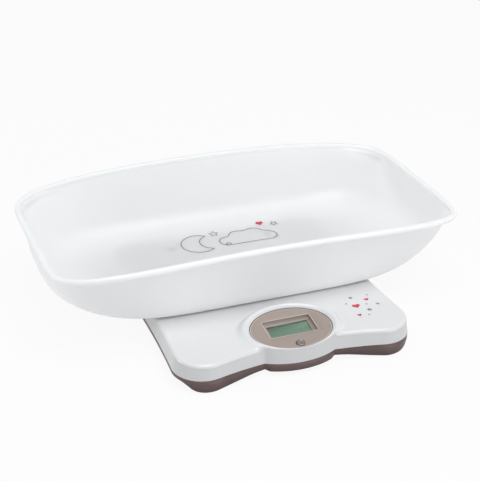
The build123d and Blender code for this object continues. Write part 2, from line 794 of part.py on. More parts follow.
# Circuit board with a tongue that reaches under the button.
with BuildPart() as circuit_board:
    with BuildSketch(panel.offset(-board_depth)):
        with Locations((0, board_middle)):
            RectangleRounded(board_width, board_height, board_corner)
        with Locations((0, (tongue_end + board_middle) / 2)):
            RectangleRounded(board_tongue_width, board_middle - tongue_end, board_corner)
        with Locations(*board_post_places):
            Circle(screw_radius + head_clearance, mode=Mode.SUBTRACT)
    extrude(amount=-board_thickness)
circuit_board.part.label = "circuit_board"
export_step(circuit_board.part, "parts/circuit_board.step")

# Chip and capacitors on the board's underside.
with BuildPart() as controller_chip:
    with BuildSketch(panel.offset(-board_depth - board_thickness)):
        with Locations((0, board_middle)):
            Rectangle(chip_size, chip_size)
    extrude(amount=-chip_height)
    chamfer(controller_chip.edges().filter_by(Axis(panel.origin, panel.z_dir)), chip_chamfer)
controller_chip.part.label = "controller_chip"
export_step(controller_chip.part, "parts/controller_chip.step")

with BuildPart() as board_capacitors:
    with BuildSketch(panel.offset(-board_depth - board_thickness)):
        with Locations((0, board_middle)):
            with GridLocations(2 * chip_size, chip_size, 2, 2):
                Circle(capacitor_radius)
    extrude(amount=-capacitor_height)
board_capacitors.part.label = "board_capacitors"
export_step(board_capacitors.part, "parts/board_capacitors.step")

# Row of wire connectors along the board's far edge: four for the load cells, one for power.
with BuildPart() as wire_connectors:
    with BuildSketch(panel.offset(-board_depth - board_thickness)):
        with Locations((0, board_far_edge - connector_depth / 2)):
            with GridLocations(connector_pitch, 0, 5, 1):
                Rectangle(connector_width, connector_depth)
    extrude(amount=-connector_height)
wire_connectors.part.label = "wire_connectors"
export_step(wire_connectors.part, "parts/wire_connectors.step")

# Tare button: dished cap, a flange that keeps it under the bezel, and a stem. Its profile is
# drawn beside the panel's normal and turned about it.
button_plane = Plane(
    origin=panel.from_local_coords((0, button_offset, 0)),
    x_dir=panel.x_dir,
    z_dir=-panel.y_dir,
)
button_axis = Axis(button_plane.origin, panel.z_dir)
with BuildPart() as tare_button:
    with BuildSketch(button_plane):
        with BuildLine():
            dish_start = (0, button_rise - button_dish)
            dish = RadiusArc(dish_start, (button_dish_reach, button_rise), -button_dish_radius)
            shoulder = Line(dish @ 1, (button_radius - button_edge, button_rise))
            rounding = TangentArc(shoulder @ 1, (button_radius, button_rise - button_edge), tangent=(1, 0))
            Polyline(
                rounding @ 1,
                (button_radius, -flange_top),
                (button_flange_radius, -flange_top),
                (button_flange_radius, -flange_bottom),
                (button_stem_radius, -flange_bottom),
                (button_stem_radius, -stem_end),
                (0, -stem_end),
                dish @ 0,
            )
        make_face()
    revolve(axis=button_axis)
tare_button.part.label = "tare_button"
export_step(tare_button.part, "parts/tare_button.step")

# Silicone dome that pushes the button back.
with BuildPart() as button_dome:
    with BuildSketch(button_plane):
        with BuildLine():
            Polyline(
                (dome_radius, -board_depth),
                (dome_radius, dome_base_height - board_depth),
                (dome_radius - dome_base_height, dome_base_height - board_depth),
                (dome_top_radius, -stem_end),
                (0, -stem_end),
                (0, -stem_end - 2 * dome_skin),
                (dome_top_radius - dome_skin, -stem_end - 2 * dome_skin),
                (dome_radius - dome_base_height - 2 * dome_skin, -board_depth),
                close=True,
            )
        make_face()
    revolve(axis=button_axis)
button_dome.part.label = "button_dome"
export_step(button_dome.part, "parts/button_dome.step")

# One stack of foot, plunger, strain-gauge plate and clamp in each lobe.
for corner, x_side, y_side in corners:
    middle = (x_side * lobe_x, base_y + y_side * lobe_y)
    with BuildPart() as rubber_foot:
        with BuildSketch():
            with Locations(middle):
                Circle(foot_radius)
        extrude(amount=foot_thickness)
        chamfer(rubber_foot.edges().group_by(Axis.Z)[0], foot_chamfer)
        with BuildSketch():
            with Locations(middle):
                Circle(foot_groove_radius + foot_groove_width)
                Circle(foot_groove_radius, mode=Mode.SUBTRACT)
        extrude(amount=foot_chamfer, mode=Mode.SUBTRACT)
    rubber_foot.part.label = f"{corner}_rubber_foot"
    export_step(rubber_foot.part, f"parts/{corner}_rubber_foot.step")

    with BuildPart() as foot_plunger:
        with BuildSketch(Plane.XY.offset(foot_thickness)):
            with Locations(middle):
                Circle(plunger_radius)
        extrude(amount=plunger_thickness)
        with BuildSketch(Plane.XY.offset(foot_thickness + plunger_thickness)):
            with Locations(middle):
                Circle(plunger_nub_radius)
        extrude(amount=well_top - foot_thickness - plunger_thickness)
    foot_plunger.part.label = f"{corner}_foot_plunger"
    export_step(foot_plunger.part, f"parts/{corner}_foot_plunger.step")

    with BuildPart() as load_cell:
        with BuildSketch(Plane.XY.offset(well_top)):
            with Locations(middle):
                RectangleRounded(cell_size, cell_size, cell_frame / 2)
                Rectangle(cell_size - 2 * cell_frame, cell_size - 2 * cell_frame, mode=Mode.SUBTRACT)
                Rectangle(tongue_size, tongue_size)
            with Locations((middle[0], middle[1] + (tongue_size + cell_slot) / 2)):
                Rectangle(tongue_size, 2 * cell_slot)
        extrude(amount=cell_thickness)
    load_cell.part.label = f"{corner}_load_cell"
    export_step(load_cell.part, f"parts/{corner}_load_cell.step")

    ear_reach = clamp_ear_reach / 2
    with BuildPart() as cell_clamp:
        with BuildSketch(Plane.XY.offset(cell_top)):
            with Locations(middle):
                RectangleRounded(clamp_size, clamp_size, cell_frame / 2)
            with Locations((middle[0] - x_side * ear_reach, middle[1])):
                SlotCenterToCenter(clamp_ear_reach, 2 * clamp_ear_radius)
            with Locations((middle[0], middle[1] - y_side * ear_reach)):
                SlotCenterToCenter(clamp_ear_reach, 2 * clamp_ear_radius, rotation=90)
            with Locations(middle):
                Rectangle(clamp_opening, clamp_opening, mode=Mode.SUBTRACT)
            with Locations((middle[0] - x_side * wire_notch_reach, middle[1] - y_side * wire_notch_reach)):
                Rectangle(clamp_size, wire_notch, rotation=45 * x_side * y_side, mode=Mode.SUBTRACT)
            with Locations((middle[0] - x_side * clamp_ear_reach, middle[1])):
                Circle(screw_radius + head_clearance, mode=Mode.SUBTRACT)
            with Locations((middle[0], middle[1] - y_side * clamp_ear_reach)):
                Circle(screw_radius + head_clearance, mode=Mode.SUBTRACT)
        extrude(amount=clamp_thickness)
    cell_clamp.part.label = f"{corner}_cell_clamp"
    export_step(cell_clamp.part, f"parts/{corner}_cell_clamp.step")

# Screws, one node for each kind. Every one is a core, a domed head and a cross recess.
with BuildPart() as case_screws:
    with Locations(*[Location((x, y, case_head_seat)) for x, y in case_places]):
        add(screw(case_screw_length))
case_screws.part.label = "case_screws"
export_step(case_screws.part, "parts/case_screws.step")

with BuildPart() as clamp_screws:
    with Locations(*[Location((x, y, cell_top + clamp_thickness), (180, 0, 0)) for x, y in post_places]):
        add(screw(short_screw_length))
clamp_screws.part.label = "clamp_screws"
export_step(clamp_screws.part, "parts/clamp_screws.step")

with BuildPart() as board_screws:
    with Locations(panel.offset(-board_depth - board_thickness)):
        with Locations(*board_post_places):
            add(screw(short_screw_length))
board_screws.part.label = "board_screws"
export_step(board_screws.part, "parts/board_screws.step")

# Batteries lie side by side, turned end for end in turn.
for number in range(battery_count):
    way = 1 if number % 2 == 0 else -1
    with BuildPart() as battery:
        with BuildSketch(Plane.YZ.offset(way * battery_flat_end)):
            with Locations((battery_rows[number], battery_z)):
                Circle(battery_radius)
        extrude(amount=way * (battery_length - battery_nub_length))
        fillet(battery.edges().filter_by(GeomType.CIRCLE), battery_round)
        with BuildSketch(Plane.YZ.offset(way * (battery_flat_end + battery_length - battery_nub_length))):
            with Locations((battery_rows[number], battery_z)):
                Circle(battery_nub_radius)
        extrude(amount=way * battery_nub_length)
    battery.part.label = f"battery_{number + 1}"
    export_step(battery.part, f"parts/battery_{number + 1}.step")

# Contact plates at both ends of the box. The long ones join two batteries in series.
with BuildPart() as battery_contacts:
    with BuildSketch(Plane.YZ.offset(-box_half)):
        with Locations((battery_middle, battery_z)):
            with GridLocations(2 * battery_pitch, 0, 2, 1):
                Rectangle(battery_pitch + contact_height, contact_height)
    extrude(amount=contact_thickness)
    with BuildSketch(Plane.YZ.offset(box_half)):
        with Locations((battery_middle, battery_z)):
            Rectangle(battery_pitch + contact_height, contact_height)
            with GridLocations(3 * battery_pitch, 0, 2, 1):
                Rectangle(contact_height, contact_height)
    extrude(amount=-contact_thickness)
battery_contacts.part.label = "battery_contacts"
export_step(battery_contacts.part, "parts/battery_contacts.step")

# Coil springs that press on the flat end of each battery.
with BuildPart() as coil_spring:
    with BuildLine() as coil_path:
        Helix(coil_height / spring_turns, coil_height, battery_spring_radius)
    with BuildSketch(Plane(origin=coil_path.line @ 0, z_dir=coil_path.line % 0)):
        Circle(spring_wire_radius)
    sweep()
with BuildPart() as battery_springs:
    for number in range(battery_count):
        way = 1 if number % 2 == 0 else -1
        seat = -way * (box_half - contact_thickness - spring_wire_radius)
        with Locations(Location((seat, battery_rows[number], battery_z), (0, way * 90, 0))):
            add(coil_spring.part)
battery_springs.part.label = "battery_springs"
export_step(battery_springs.part, "parts/battery_springs.step")

# Wires from the load cells and from the battery box to the board.
for corner, x_side, y_side in corners:
    cell = (x_side * lobe_x, base_y + y_side * lobe_y)
    plug_column = 2 if y_side < 0 else 1
    plug = panel.from_local_coords((x_side * plug_column * connector_pitch, board_far_edge, -plug_depth))
    approach = plug + panel.y_dir * plug_run
    inner = (cell[0] - x_side * wire_exit, cell[1] - y_side * wire_exit, wire_floor)
    start = (cell[0] - x_side * wire_start, cell[1] - y_side * wire_start, wire_floor)
    if y_side < 0:
        route = [
            (inner[0] - x_side * 26, inner[1] + 22, wire_floor - 1),
            (x_side * 46, plug.Y + 25, wire_floor + 1),
        ]
    else:
        route = [
            (inner[0] - x_side * 12, inner[1] - 40, wire_floor - 1),
            (inner[0] - x_side * 32, inner[1] - 80, wire_floor - 1),
            (inner[0] - x_side * 52, inner[1] - 120, wire_floor),
            (x_side * 26, plug.Y + 46, wire_floor + 2),
        ]
    rise = [(plug.X, plug.Y + 2 * plug_run, plug.Z - 5), approach, plug]
    cell_wire = wire([start, inner] + route + rise, wire_radius)
    cell_wire.label = f"{corner}_cell_wire"
    export_step(cell_wire, f"parts/{corner}_cell_wire.step")

for name, side in (("red", 1), ("black", -1)):
    plug = panel.from_local_coords((side * connector_width / 4, board_far_edge, -plug_depth))
    approach = plug + panel.y_dir * plug_run
    route = [
        (side * 8, box_front - box_wall, battery_z),
        (side * 8, box_front - box_wall - 20, battery_z),
        (side * 5, box_front - 56, wire_floor),
        (side * 3.5, plug.Y + 62, wire_floor),
        (side * 2.5, plug.Y + 40, wire_floor + 4),
        (plug.X, plug.Y + 2 * plug_run, plug.Z - 3),
        approach,
        plug,
    ]
    battery_wire = wire(route, power_wire_radius)
    battery_wire.label = f"{name}_battery_wire"
    export_step(battery_wire, f"parts/{name}_battery_wire.step")
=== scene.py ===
import json
from math import cos, pi, radians, sin, tan

import bmesh
import bpy
import numpy as np
from mathutils import Matrix, Vector
from mathutils.bvhtree import BVHTree

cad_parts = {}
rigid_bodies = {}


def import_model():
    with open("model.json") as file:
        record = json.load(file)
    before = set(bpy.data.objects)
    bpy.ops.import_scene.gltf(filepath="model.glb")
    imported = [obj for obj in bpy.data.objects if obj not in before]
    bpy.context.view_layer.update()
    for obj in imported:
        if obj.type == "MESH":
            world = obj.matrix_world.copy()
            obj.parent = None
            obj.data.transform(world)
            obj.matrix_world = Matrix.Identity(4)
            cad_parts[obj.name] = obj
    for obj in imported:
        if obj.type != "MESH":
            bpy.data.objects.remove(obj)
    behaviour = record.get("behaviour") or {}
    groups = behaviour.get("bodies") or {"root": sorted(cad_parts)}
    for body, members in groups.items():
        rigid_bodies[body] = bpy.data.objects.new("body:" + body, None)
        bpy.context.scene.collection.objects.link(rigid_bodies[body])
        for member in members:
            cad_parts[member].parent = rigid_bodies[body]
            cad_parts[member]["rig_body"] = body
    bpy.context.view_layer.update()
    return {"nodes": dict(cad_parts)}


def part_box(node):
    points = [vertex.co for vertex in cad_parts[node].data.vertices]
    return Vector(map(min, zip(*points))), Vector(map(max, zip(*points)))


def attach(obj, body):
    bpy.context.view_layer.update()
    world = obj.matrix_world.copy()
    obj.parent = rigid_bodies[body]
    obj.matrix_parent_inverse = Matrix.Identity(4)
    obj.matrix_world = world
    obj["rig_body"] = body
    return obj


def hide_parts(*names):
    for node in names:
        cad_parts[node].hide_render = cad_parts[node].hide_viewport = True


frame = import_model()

# All sizes below are in millimetres, as in the CAD source. Meshes are put into Blender in metres.
metre = 0.001
print("frame loaded:", len(frame["nodes"]), "nodes")


# Mesh helpers.

def boxOf(nodeName):
    # Lowest and highest corner of a CAD node, in millimetres.
    low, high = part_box(nodeName)
    return np.array(low) / metre, np.array(high) / metre


def gridFaces(rowCount, ringCount, firstIndex=0):
    # Quads between neighbouring rings, each ring closed on itself.
    index = firstIndex + np.arange(rowCount * ringCount).reshape(rowCount, ringCount)
    nextOne = np.roll(index, -1, axis=1)
    return np.stack([index[:-1], nextOne[:-1], nextOne[1:], index[1:]], axis=-1).reshape(-1, 4)


def ringSkin(rings, startCap=False, endCap=False):
    # Skin over a stack of closed rings. A cap is a fan from the end ring to its middle.
    rowCount, ringCount = rings.shape[:2]
    points = rings.reshape(-1, 3)
    faces = gridFaces(rowCount, ringCount).tolist()
    for wanted, row, turned in ((startCap, 0, True), (endCap, rowCount - 1, False)):
        if wanted:
            points = np.vstack([points, rings[row].mean(axis=0)])
            ring = row * ringCount + np.arange(ringCount)
            nextOne = np.roll(ring, -1)
            middle = np.full(ringCount, len(points) - 1)
            fan = [nextOne, ring, middle] if turned else [ring, nextOne, middle]
            faces += np.stack(fan, axis=-1).tolist()
    return points, faces


def lathe(profile, centre, count, startCap=False, endCap=False):
    # A profile of (radius, height) pairs turned once about a vertical line through the centre.
    angle = np.linspace(0, 2 * pi, count, endpoint=False)
    radius, height = np.array(profile, float).T
    rings = np.stack([
        radius[:, None] * np.cos(angle),
        radius[:, None] * np.sin(angle),
        np.repeat(height[:, None], count, axis=1),
    ], axis=-1)
    return ringSkin(rings + np.array(centre), startCap, endCap)


def addObject(name, data):
    thing = bpy.data.objects.new(name, data)
    bpy.context.scene.collection.objects.link(thing)
    return thing


def makePiece(name, parts, bodyName, material, crease=None):
    # One object from several pairs of points and faces, smooth but for edges sharper than the crease.
    points, faces, offset = [], [], 0
    for partPoints, partFaces in parts:
        points.append(partPoints)
        faces += [[corner + offset for corner in face] for face in partFaces]
        offset += len(partPoints)
    mesh = bpy.data.meshes.new(name)
    mesh.from_pydata((np.vstack(points) * metre).tolist(), [], faces)
    mesh.update()
    mesh.shade_smooth()
    if crease:
        mesh.set_sharp_from_angle(angle=radians(crease))
    mesh.materials.append(material)
    piece = addObject(name, mesh)
    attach(piece, bodyName)
    return piece


def settle(piece):
    # Turns a piece's modifiers into its mesh.
    graph = bpy.context.evaluated_depsgraph_get()
    finished = bpy.data.meshes.new_from_object(piece.evaluated_get(graph))
    piece.modifiers.clear()
    piece.data = finished


copySet = {"merge": 2e-6, "crease": 32}  # metres, and degrees where a piece names none


def smoothCopy(nodeName, pieceName, material, crease=copySet["crease"]):
    # A CAD node's own shape with its doubles merged, so that curved faces shade smoothly.
    source = frame["nodes"][nodeName]
    mesh = source.data.copy()
    mesh.name = pieceName
    work = bmesh.new()
    work.from_mesh(mesh)
    bmesh.ops.remove_doubles(work, verts=work.verts, dist=copySet["merge"])
    work.to_mesh(mesh)
    work.free()
    mesh.materials.clear()
    mesh.materials.append(material)
    mesh.shade_smooth()
    mesh.set_sharp_from_angle(angle=radians(crease))
    piece = addObject(pieceName, mesh)
    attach(piece, source["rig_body"])
    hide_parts(nodeName)
    return piece


# Shader helpers.

def newGroup(name, inputs, outputs):
    # A node group with named sockets, each given as (name, type, default).
    group = bpy.data.node_groups.new(name, "ShaderNodeTree")
    for socketName, kind, value in inputs:
        socket = group.interface.new_socket(socketName, in_out="INPUT", socket_type=kind)
        socket.default_value = value
    for socketName, kind in outputs:
        group.interface.new_socket(socketName, in_out="OUTPUT", socket_type=kind)
    return group, group.nodes.new("NodeGroupInput"), group.nodes.new("NodeGroupOutput")


def addNode(tree, kind, **settings):
    node = tree.nodes.new(kind)
    for key, value in settings.items():
        setattr(node, key, value)
    return node


grainSet = {
    "cloudDetail": 3.0,
    "patchScale": 60.0,
    "patchDetail": 4.0,
    "grainDetail": 2.0,
    "grainHeight": 0.0003,    # metres at full depth
    "waveScale": 22.0,
    "waveDetail": 2.0,
    "waveHeight": 0.001,
}


def buildMouldGrain(s=grainSet):
    # Moulded surface: cloudy tone, patchy gloss, fine grain and a faint long-wave unevenness.
    group, given, result = newGroup(
        "mouldGrain",
        [
            ("Tone", "NodeSocketColor", (0.8, 0.8, 0.8, 1)),
            ("Shade", "NodeSocketColor", (0.7, 0.7, 0.7, 1)),
            ("Cloud Scale", "NodeSocketFloat", 9.0),
            ("Gloss", "NodeSocketFloat", 0.3),
            ("Gloss Spread", "NodeSocketFloat", 0.04),
            ("Grain Scale", "NodeSocketFloat", 900.0),
            ("Grain Depth", "NodeSocketFloat", 0.05),
            ("Wave Depth", "NodeSocketFloat", 0.0),
        ],
        [
            ("Colour", "NodeSocketColor"),
            ("Roughness", "NodeSocketFloat"),
            ("Normal", "NodeSocketVector"),
        ],
    )
    link = group.links.new
    place = addNode(group, "ShaderNodeTexCoord")

    def noise(scale, detail):
        # Noise in the piece's own space. The scale is a number, or the name of a given socket.
        node = addNode(group, "ShaderNodeTexNoise")
        node.inputs["Detail"].default_value = detail
        link(place.outputs["Object"], node.inputs["Vector"])
        if isinstance(scale, str):
            link(given.outputs[scale], node.inputs["Scale"])
        else:
            node.inputs["Scale"].default_value = scale
        return node.outputs["Fac"]

    def bump(height, depthName, distance):
        node = addNode(group, "ShaderNodeBump")
        node.inputs["Distance"].default_value = distance
        link(height, node.inputs["Height"])
        link(given.outputs[depthName], node.inputs["Strength"])
        return node

    blend = addNode(group, "ShaderNodeMix", data_type="RGBA")
    link(noise("Cloud Scale", s["cloudDetail"]), blend.inputs["Factor"])
    link(given.outputs["Tone"], blend.inputs[6])
    link(given.outputs["Shade"], blend.inputs[7])
    link(blend.outputs[2], result.inputs["Colour"])

    # The gloss swings by its spread about the given value, with the noise taken from its middle.
    centred = addNode(group, "ShaderNodeMath", operation="SUBTRACT")
    centred.inputs[1].default_value = 0.5
    link(noise(s["patchScale"], s["patchDetail"]), centred.inputs[0])
    rough = addNode(group, "ShaderNodeMath", operation="MULTIPLY_ADD")
    link(centred.outputs[0], rough.inputs[0])
    link(given.outputs["Gloss Spread"], rough.inputs[1])
    link(given.outputs["Gloss"], rough.inputs[2])
    link(rough.outputs[0], result.inputs["Roughness"])

    wave = bump(noise(s["waveScale"], s["waveDetail"]), "Wave Depth", s["waveHeight"])
    grain = bump(noise("Grain Scale", s["grainDetail"]), "Grain Depth", s["grainHeight"])
    link(wave.outputs["Normal"], grain.inputs["Normal"])
    link(grain.outputs["Normal"], result.inputs["Normal"])
    return group


mouldGrain = buildMouldGrain()


def moulded(
        name, tone, shade, gloss, spread=0.04, cloud=9.0, grain=900.0, depth=0.05, wave=0.0, **fixed):
    # A plastic, rubber or metal finish: the grain group feeds a Principled shader, and what is fixed
    # goes on the shader's own sockets.
    material = bpy.data.materials.new(name)
    material.use_nodes = True
    tree = material.node_tree
    shader = tree.nodes["Principled BSDF"]
    effect = addNode(tree, "ShaderNodeGroup", node_tree=mouldGrain)
    values = {
        "Tone": (*tone, 1), "Shade": (*shade, 1), "Cloud Scale": cloud, "Gloss": gloss,
        "Gloss Spread": spread, "Grain Scale": grain, "Grain Depth": depth, "Wave Depth": wave,
    }
    for socketName, value in values.items():
        effect.inputs[socketName].default_value = value
    tree.links.new(effect.outputs["Colour"], shader.inputs["Base Color"])
    tree.links.new(effect.outputs["Roughness"], shader.inputs["Roughness"])
    tree.links.new(effect.outputs["Normal"], shader.inputs["Normal"])
    for socketName, value in fixed.items():
        shader.inputs[socketName.replace("_", " ")].default_value = value
    return material


trayPlastic = moulded(
    "traySatin", (0.845, 0.855, 0.86), (0.83, 0.84, 0.845), 0.42, grain=1400, depth=0.03,
    Subsurface_Weight=0.75, Subsurface_Radius=(1.0, 1.0, 1.0), Subsurface_Scale=0.012)
shellPlastic = moulded(
    "shellGloss", (0.735, 0.74, 0.75), (0.72, 0.725, 0.735), 0.16, depth=0.02, wave=0.02)
skirtPlastic = moulded(
    "skirtTaupe", (0.105, 0.064, 0.061), (0.095, 0.058, 0.055), 0.42, grain=1800, depth=0.08)
bezelPlastic = moulded(
    "bezelTaupe", (0.36, 0.295, 0.260), (0.33, 0.270, 0.238), 0.34, grain=2200, depth=0.12)
holderPlastic = moulded("holderBlack", (0.02, 0.02, 0.02), (0.03, 0.03, 0.03), 0.5)
innerPlastic = moulded("innerPlain", (0.62, 0.62, 0.59), (0.56, 0.56, 0.54), 0.5, depth=0.1)
contactRubber = moulded(
    "contactRubber", (0.10, 0.10, 0.11), (0.07, 0.07, 0.075), 0.7, grain=600, depth=0.2)
boardMask = moulded("boardMask", (0.012, 0.105, 0.035), (0.010, 0.085, 0.030), 0.3, cloud=60, depth=0.1)
chipBlack = moulded("chipBlack", (0.012, 0.012, 0.013), (0.02, 0.02, 0.021), 0.55, depth=0.3)
capacitorCan = moulded("capacitorCan", (0.60, 0.61, 0.63), (0.52, 0.53, 0.55), 0.25, Metallic=1.0)
connectorNylon = moulded("connectorNylon", (0.74, 0.70, 0.58), (0.70, 0.66, 0.54), 0.45)
domeSilicone = moulded("domeSilicone", (0.60, 0.60, 0.60), (0.56, 0.56, 0.56), 0.5)
footRubber = moulded(
    "footRubber", (0.018, 0.018, 0.018), (0.028, 0.027, 0.026), 0.75, grain=500, depth=0.4)
platedSteel = moulded(
    "platedSteel", (0.52, 0.53, 0.55), (0.44, 0.45, 0.47), 0.3, cloud=40, Metallic=1.0)
batteryJacket = moulded("batteryJacket", (0.035, 0.09, 0.075), (0.03, 0.08, 0.068), 0.28, Metallic=0.3)
wireGrey = moulded("wireGrey", (0.17, 0.17, 0.175), (0.14, 0.14, 0.145), 0.5)
wireRed = moulded("wireRed", (0.42, 0.02, 0.02), (0.36, 0.015, 0.015), 0.45)
wireBlack = moulded("wireBlack", (0.012, 0.012, 0.012), (0.02, 0.02, 0.02), 0.45)
displayGlass = moulded(
    "displayGlass", (0.35, 0.58, 0.43), (0.32, 0.535, 0.395), 0.22, cloud=30, depth=0.0)
# Painted highlight: a pale taupe for thin strips along the bezel's edges, where a bevel would catch the
# light.
paintedEdgeHighlight = moulded("paintedEdgeHighlight", (0.66, 0.57, 0.53), (0.60, 0.52, 0.48), 0.35, cloud=60)
# Dark taupe for the shut line round the bezel, and for a painted shade arc over the button.
darkLineAndPaintedShade = moulded("darkLineAndPaintedShade", (0.09, 0.075, 0.07), (0.07, 0.06, 0.055), 0.5, cloud=60)
inkTaupe = moulded("inkTaupe", (0.27, 0.23, 0.19), (0.22, 0.19, 0.16), 0.5, cloud=60)
inkRed = moulded("inkRed", (0.62, 0.03, 0.09), (0.55, 0.03, 0.08), 0.45, cloud=60)
buttonGloss = moulded(
    "buttonGloss", (0.28, 0.25, 0.235), (0.235, 0.21, 0.195), 0.12, depth=0.0, Metallic=0.8)
lensTint = (0.97, 0.98, 0.97)
lensClear = moulded(
    "lensClear", lensTint, lensTint, 0.03, spread=0.01, depth=0.0, Transmission_Weight=1.0, IOR=1.45)


def buildPaintedLeanShading():
    # Painted light and shade: a factor for the colour by how far a surface leans, 1 where it looks up
    # and the given share where it looks sideways or down, with a soft change between two heights of the
    # normal. A share below 1 paints shade, above 1 paints light.
    group, given, result = newGroup(
        "paintedLeanShading",
        [
            ("Colour", "NodeSocketColor", (0.8, 0.8, 0.8, 1)),
            ("Share", "NodeSocketFloat", 0.8),
            ("Low", "NodeSocketFloat", -0.2),
            ("High", "NodeSocketFloat", 0.8),
        ],
        [("Colour", "NodeSocketColor")],
    )
    link = group.links.new
    shape = addNode(group, "ShaderNodeNewGeometry")
    parts = addNode(group, "ShaderNodeSeparateXYZ")
    link(shape.outputs["Normal"], parts.inputs[0])
    span = addNode(group, "ShaderNodeMapRange", interpolation_type="SMOOTHSTEP")
    link(parts.outputs["Z"], span.inputs["Value"])
    link(given.outputs["Low"], span.inputs["From Min"])
    link(given.outputs["High"], span.inputs["From Max"])
    link(given.outputs["Share"], span.inputs["To Min"])
    scaled = addNode(group, "ShaderNodeVectorMath", operation="SCALE")
    link(given.outputs["Colour"], scaled.inputs[0])
    link(span.outputs[0], scaled.inputs["Scale"])
    link(scaled.outputs[0], result.inputs["Colour"])
    return group


paintedLeanShading = buildPaintedLeanShading()


def paintLeanShading(material, share, low, high):
    # Puts the painted lean shading between a material's colour and its shader.
    tree = material.node_tree
    colour = tree.nodes["Principled BSDF"].inputs["Base Color"]
    effect = addNode(tree, "ShaderNodeGroup", node_tree=paintedLeanShading)
    for socketName, value in (("Share", share), ("Low", low), ("High", high)):
        effect.inputs[socketName].default_value = value
    tree.links.new(colour.links[0].from_socket, effect.inputs["Colour"])
    tree.links.new(effect.outputs["Colour"], colour)


# Painted light and shade on leaning surfaces: the tray's walls that face sideways or down up to 13.5 %
# brighter, the upper shell's walls 17 % darker, the bezel's recess walls 42 % darker.
paintLeanShading(trayPlastic, share=1.135, low=-0.35, high=0.3)
paintLeanShading(shellPlastic, share=0.83, low=0.15, high=0.9)
paintLeanShading(bezelPlastic, share=0.58, low=0.3, high=0.9)
print("materials ready")


# Weighing tray: one closed skin from the underside, up the wall and over the rolled rim to the floor.

trayLow, trayHigh = boxOf("tray")
traySet = {
    "middle": (trayLow[1] + trayHigh[1]) / 2,
    "length": 563.5,
    "depth": 312.4,
    "floorLength": 336.0,
    "floorDepth": 232.0,
    "rimHeight": trayHigh[2],
    "rimDrop": 15.0,
    "rimReach": 301.75,       # half of the span that the rim's arc is drawn over
    "rollRadius": 4.2,
    "rollTurn": (-58.0, 204.0),  # degrees, from level and outward
    "wallInset": 5.6,         # the wall's outer face lies this far inside the roll
    "endBulge": 3.4,
    "sideBulge": 1.2,
    "sidePower": (6.3, 3.6),
    "endPower": (2.0, 7.4),
    "underside": 40.0,
    "wall": 3.0,
    "outerTurn": (5.0, 5.0),  # rise and reach of the turn from the wall to the level part
    "innerTurn": (28.0, 46.0),
    "innerTurnPowers": (1.15, 1.3),
    "neck": (1.5, 1.35),      # where the neck starts and bends, in roll radii below the roll's middle
    "blendFall": 22.0,        # the roll runs into the inner wall over this height
    "blendKnee": 0.4,         # and bends at this share of it
    "wallSpread": (1.3, 1.2),  # how the outer and inner wall's rings crowd towards the turns
    "levels": (0.992, 0.97, 0.9, 0.75, 0.5, 0.25),  # ring sizes on the level floor and underside
    "quarter": 110,           # points in a quarter of a ring
    "rows": {"roll": 26, "wall": 36, "neck": 7, "blend": 9, "outerTurn": 10, "innerTurn": 30},
    "peg": (6.0, 8.5, 1.0),   # radius, length and lead
    "pegSpread": (144.0, 114.0),
    "pegCount": 40,
    "crease": 60,
}


def trayRing(halfLength, halfDepth, n, m, s=traySet):
    # The ring |x/a|^n + |y/b|^m = 1. It runs along the end by y and along the side by x, and the two
    # meet where both terms are one half. Returns the points and the outward directions.
    turn = np.arange(4 * s["quarter"]) / s["quarter"]
    quadrant = turn.astype(int)
    local = turn - quadrant
    share = np.where(quadrant % 2 == 0, local, 1 - local)
    signX = np.array([1, -1, -1, 1])[quadrant]
    signY = np.array([1, 1, -1, -1])[quadrant]
    onEnd = share < 0.5
    q = np.sin(pi * np.where(onEnd, share, 1 - share))
    x = np.where(onEnd, (1 - 0.5 * q**m) ** (1 / n), 0.5 ** (1 / n) * q)
    y = np.where(onEnd, 0.5 ** (1 / m) * q, (1 - 0.5 * q**n) ** (1 / m))
    outX = n / halfLength * x ** (n - 1)
    outY = m / halfDepth * y ** (m - 1)
    size = np.hypot(outX, outY)
    points = np.stack([x * halfLength * signX, y * halfDepth * signY], axis=-1)
    return points, np.stack([outX / size * signX, outY / size * signY], axis=-1)


def wallRing(height, inset, s=traySet):
    # The wall's outline at each height. Its half sizes grow from the floor to the rim in power curves.
    top = s["rimHeight"] - s["rollRadius"] / 2
    rise = height - s["underside"]
    sideShare = np.clip(rise / (top - s["underside"]), 0, 1)
    endShare = np.clip(rise / (top - s["rimDrop"] - s["underside"]), 0, 1)
    halves = []
    for floorSize, rimSize, share, power in (
        (s["floorLength"], s["length"], endShare, s["endBulge"]),
        (s["floorDepth"], s["depth"], sideShare, s["sideBulge"]),
    ):
        bulge = (1 - (1 - share) ** power) ** (1 / power)
        halves.append((floorSize + (rimSize - 2 * s["wallInset"] - floorSize) * bulge) / 2 - inset)
    n = s["sidePower"][0] + (s["sidePower"][1] - s["sidePower"][0]) * sideShare**2
    m = s["endPower"][0] + (s["endPower"][1] - s["endPower"][0]) * sideShare**2
    points, _ = trayRing(*halves, n, m)
    return np.dstack([points, np.broadcast_to(height, points.shape[:2])])


def rimHeightAt(x, s=traySet):
    # The rim follows a large circle arc along the tray's length.
    endDrop = s["rimDrop"] * (2 * s["rimReach"] / s["length"]) ** 2
    radius = (s["rimReach"] ** 2 + endDrop**2) / (2 * endDrop)
    return s["rimHeight"] - radius + np.sqrt(radius**2 - x**2)


def bend(first, knee, last, count):
    # Rings along a quadratic curve from the first ring to the last one, both left out.
    t = np.linspace(0, 1, count + 2)[1:-1, None, None]
    return (1 - t) ** 2 * first + 2 * t * (1 - t) * knee + t**2 * last


def pegPlaces(s=traySet):
    halfX, halfY = s["pegSpread"][0] / 2, s["pegSpread"][1] / 2
    return [(x * halfX, s["middle"] + y * halfY, 0) for x in (-1, 1) for y in (-1, 1)]


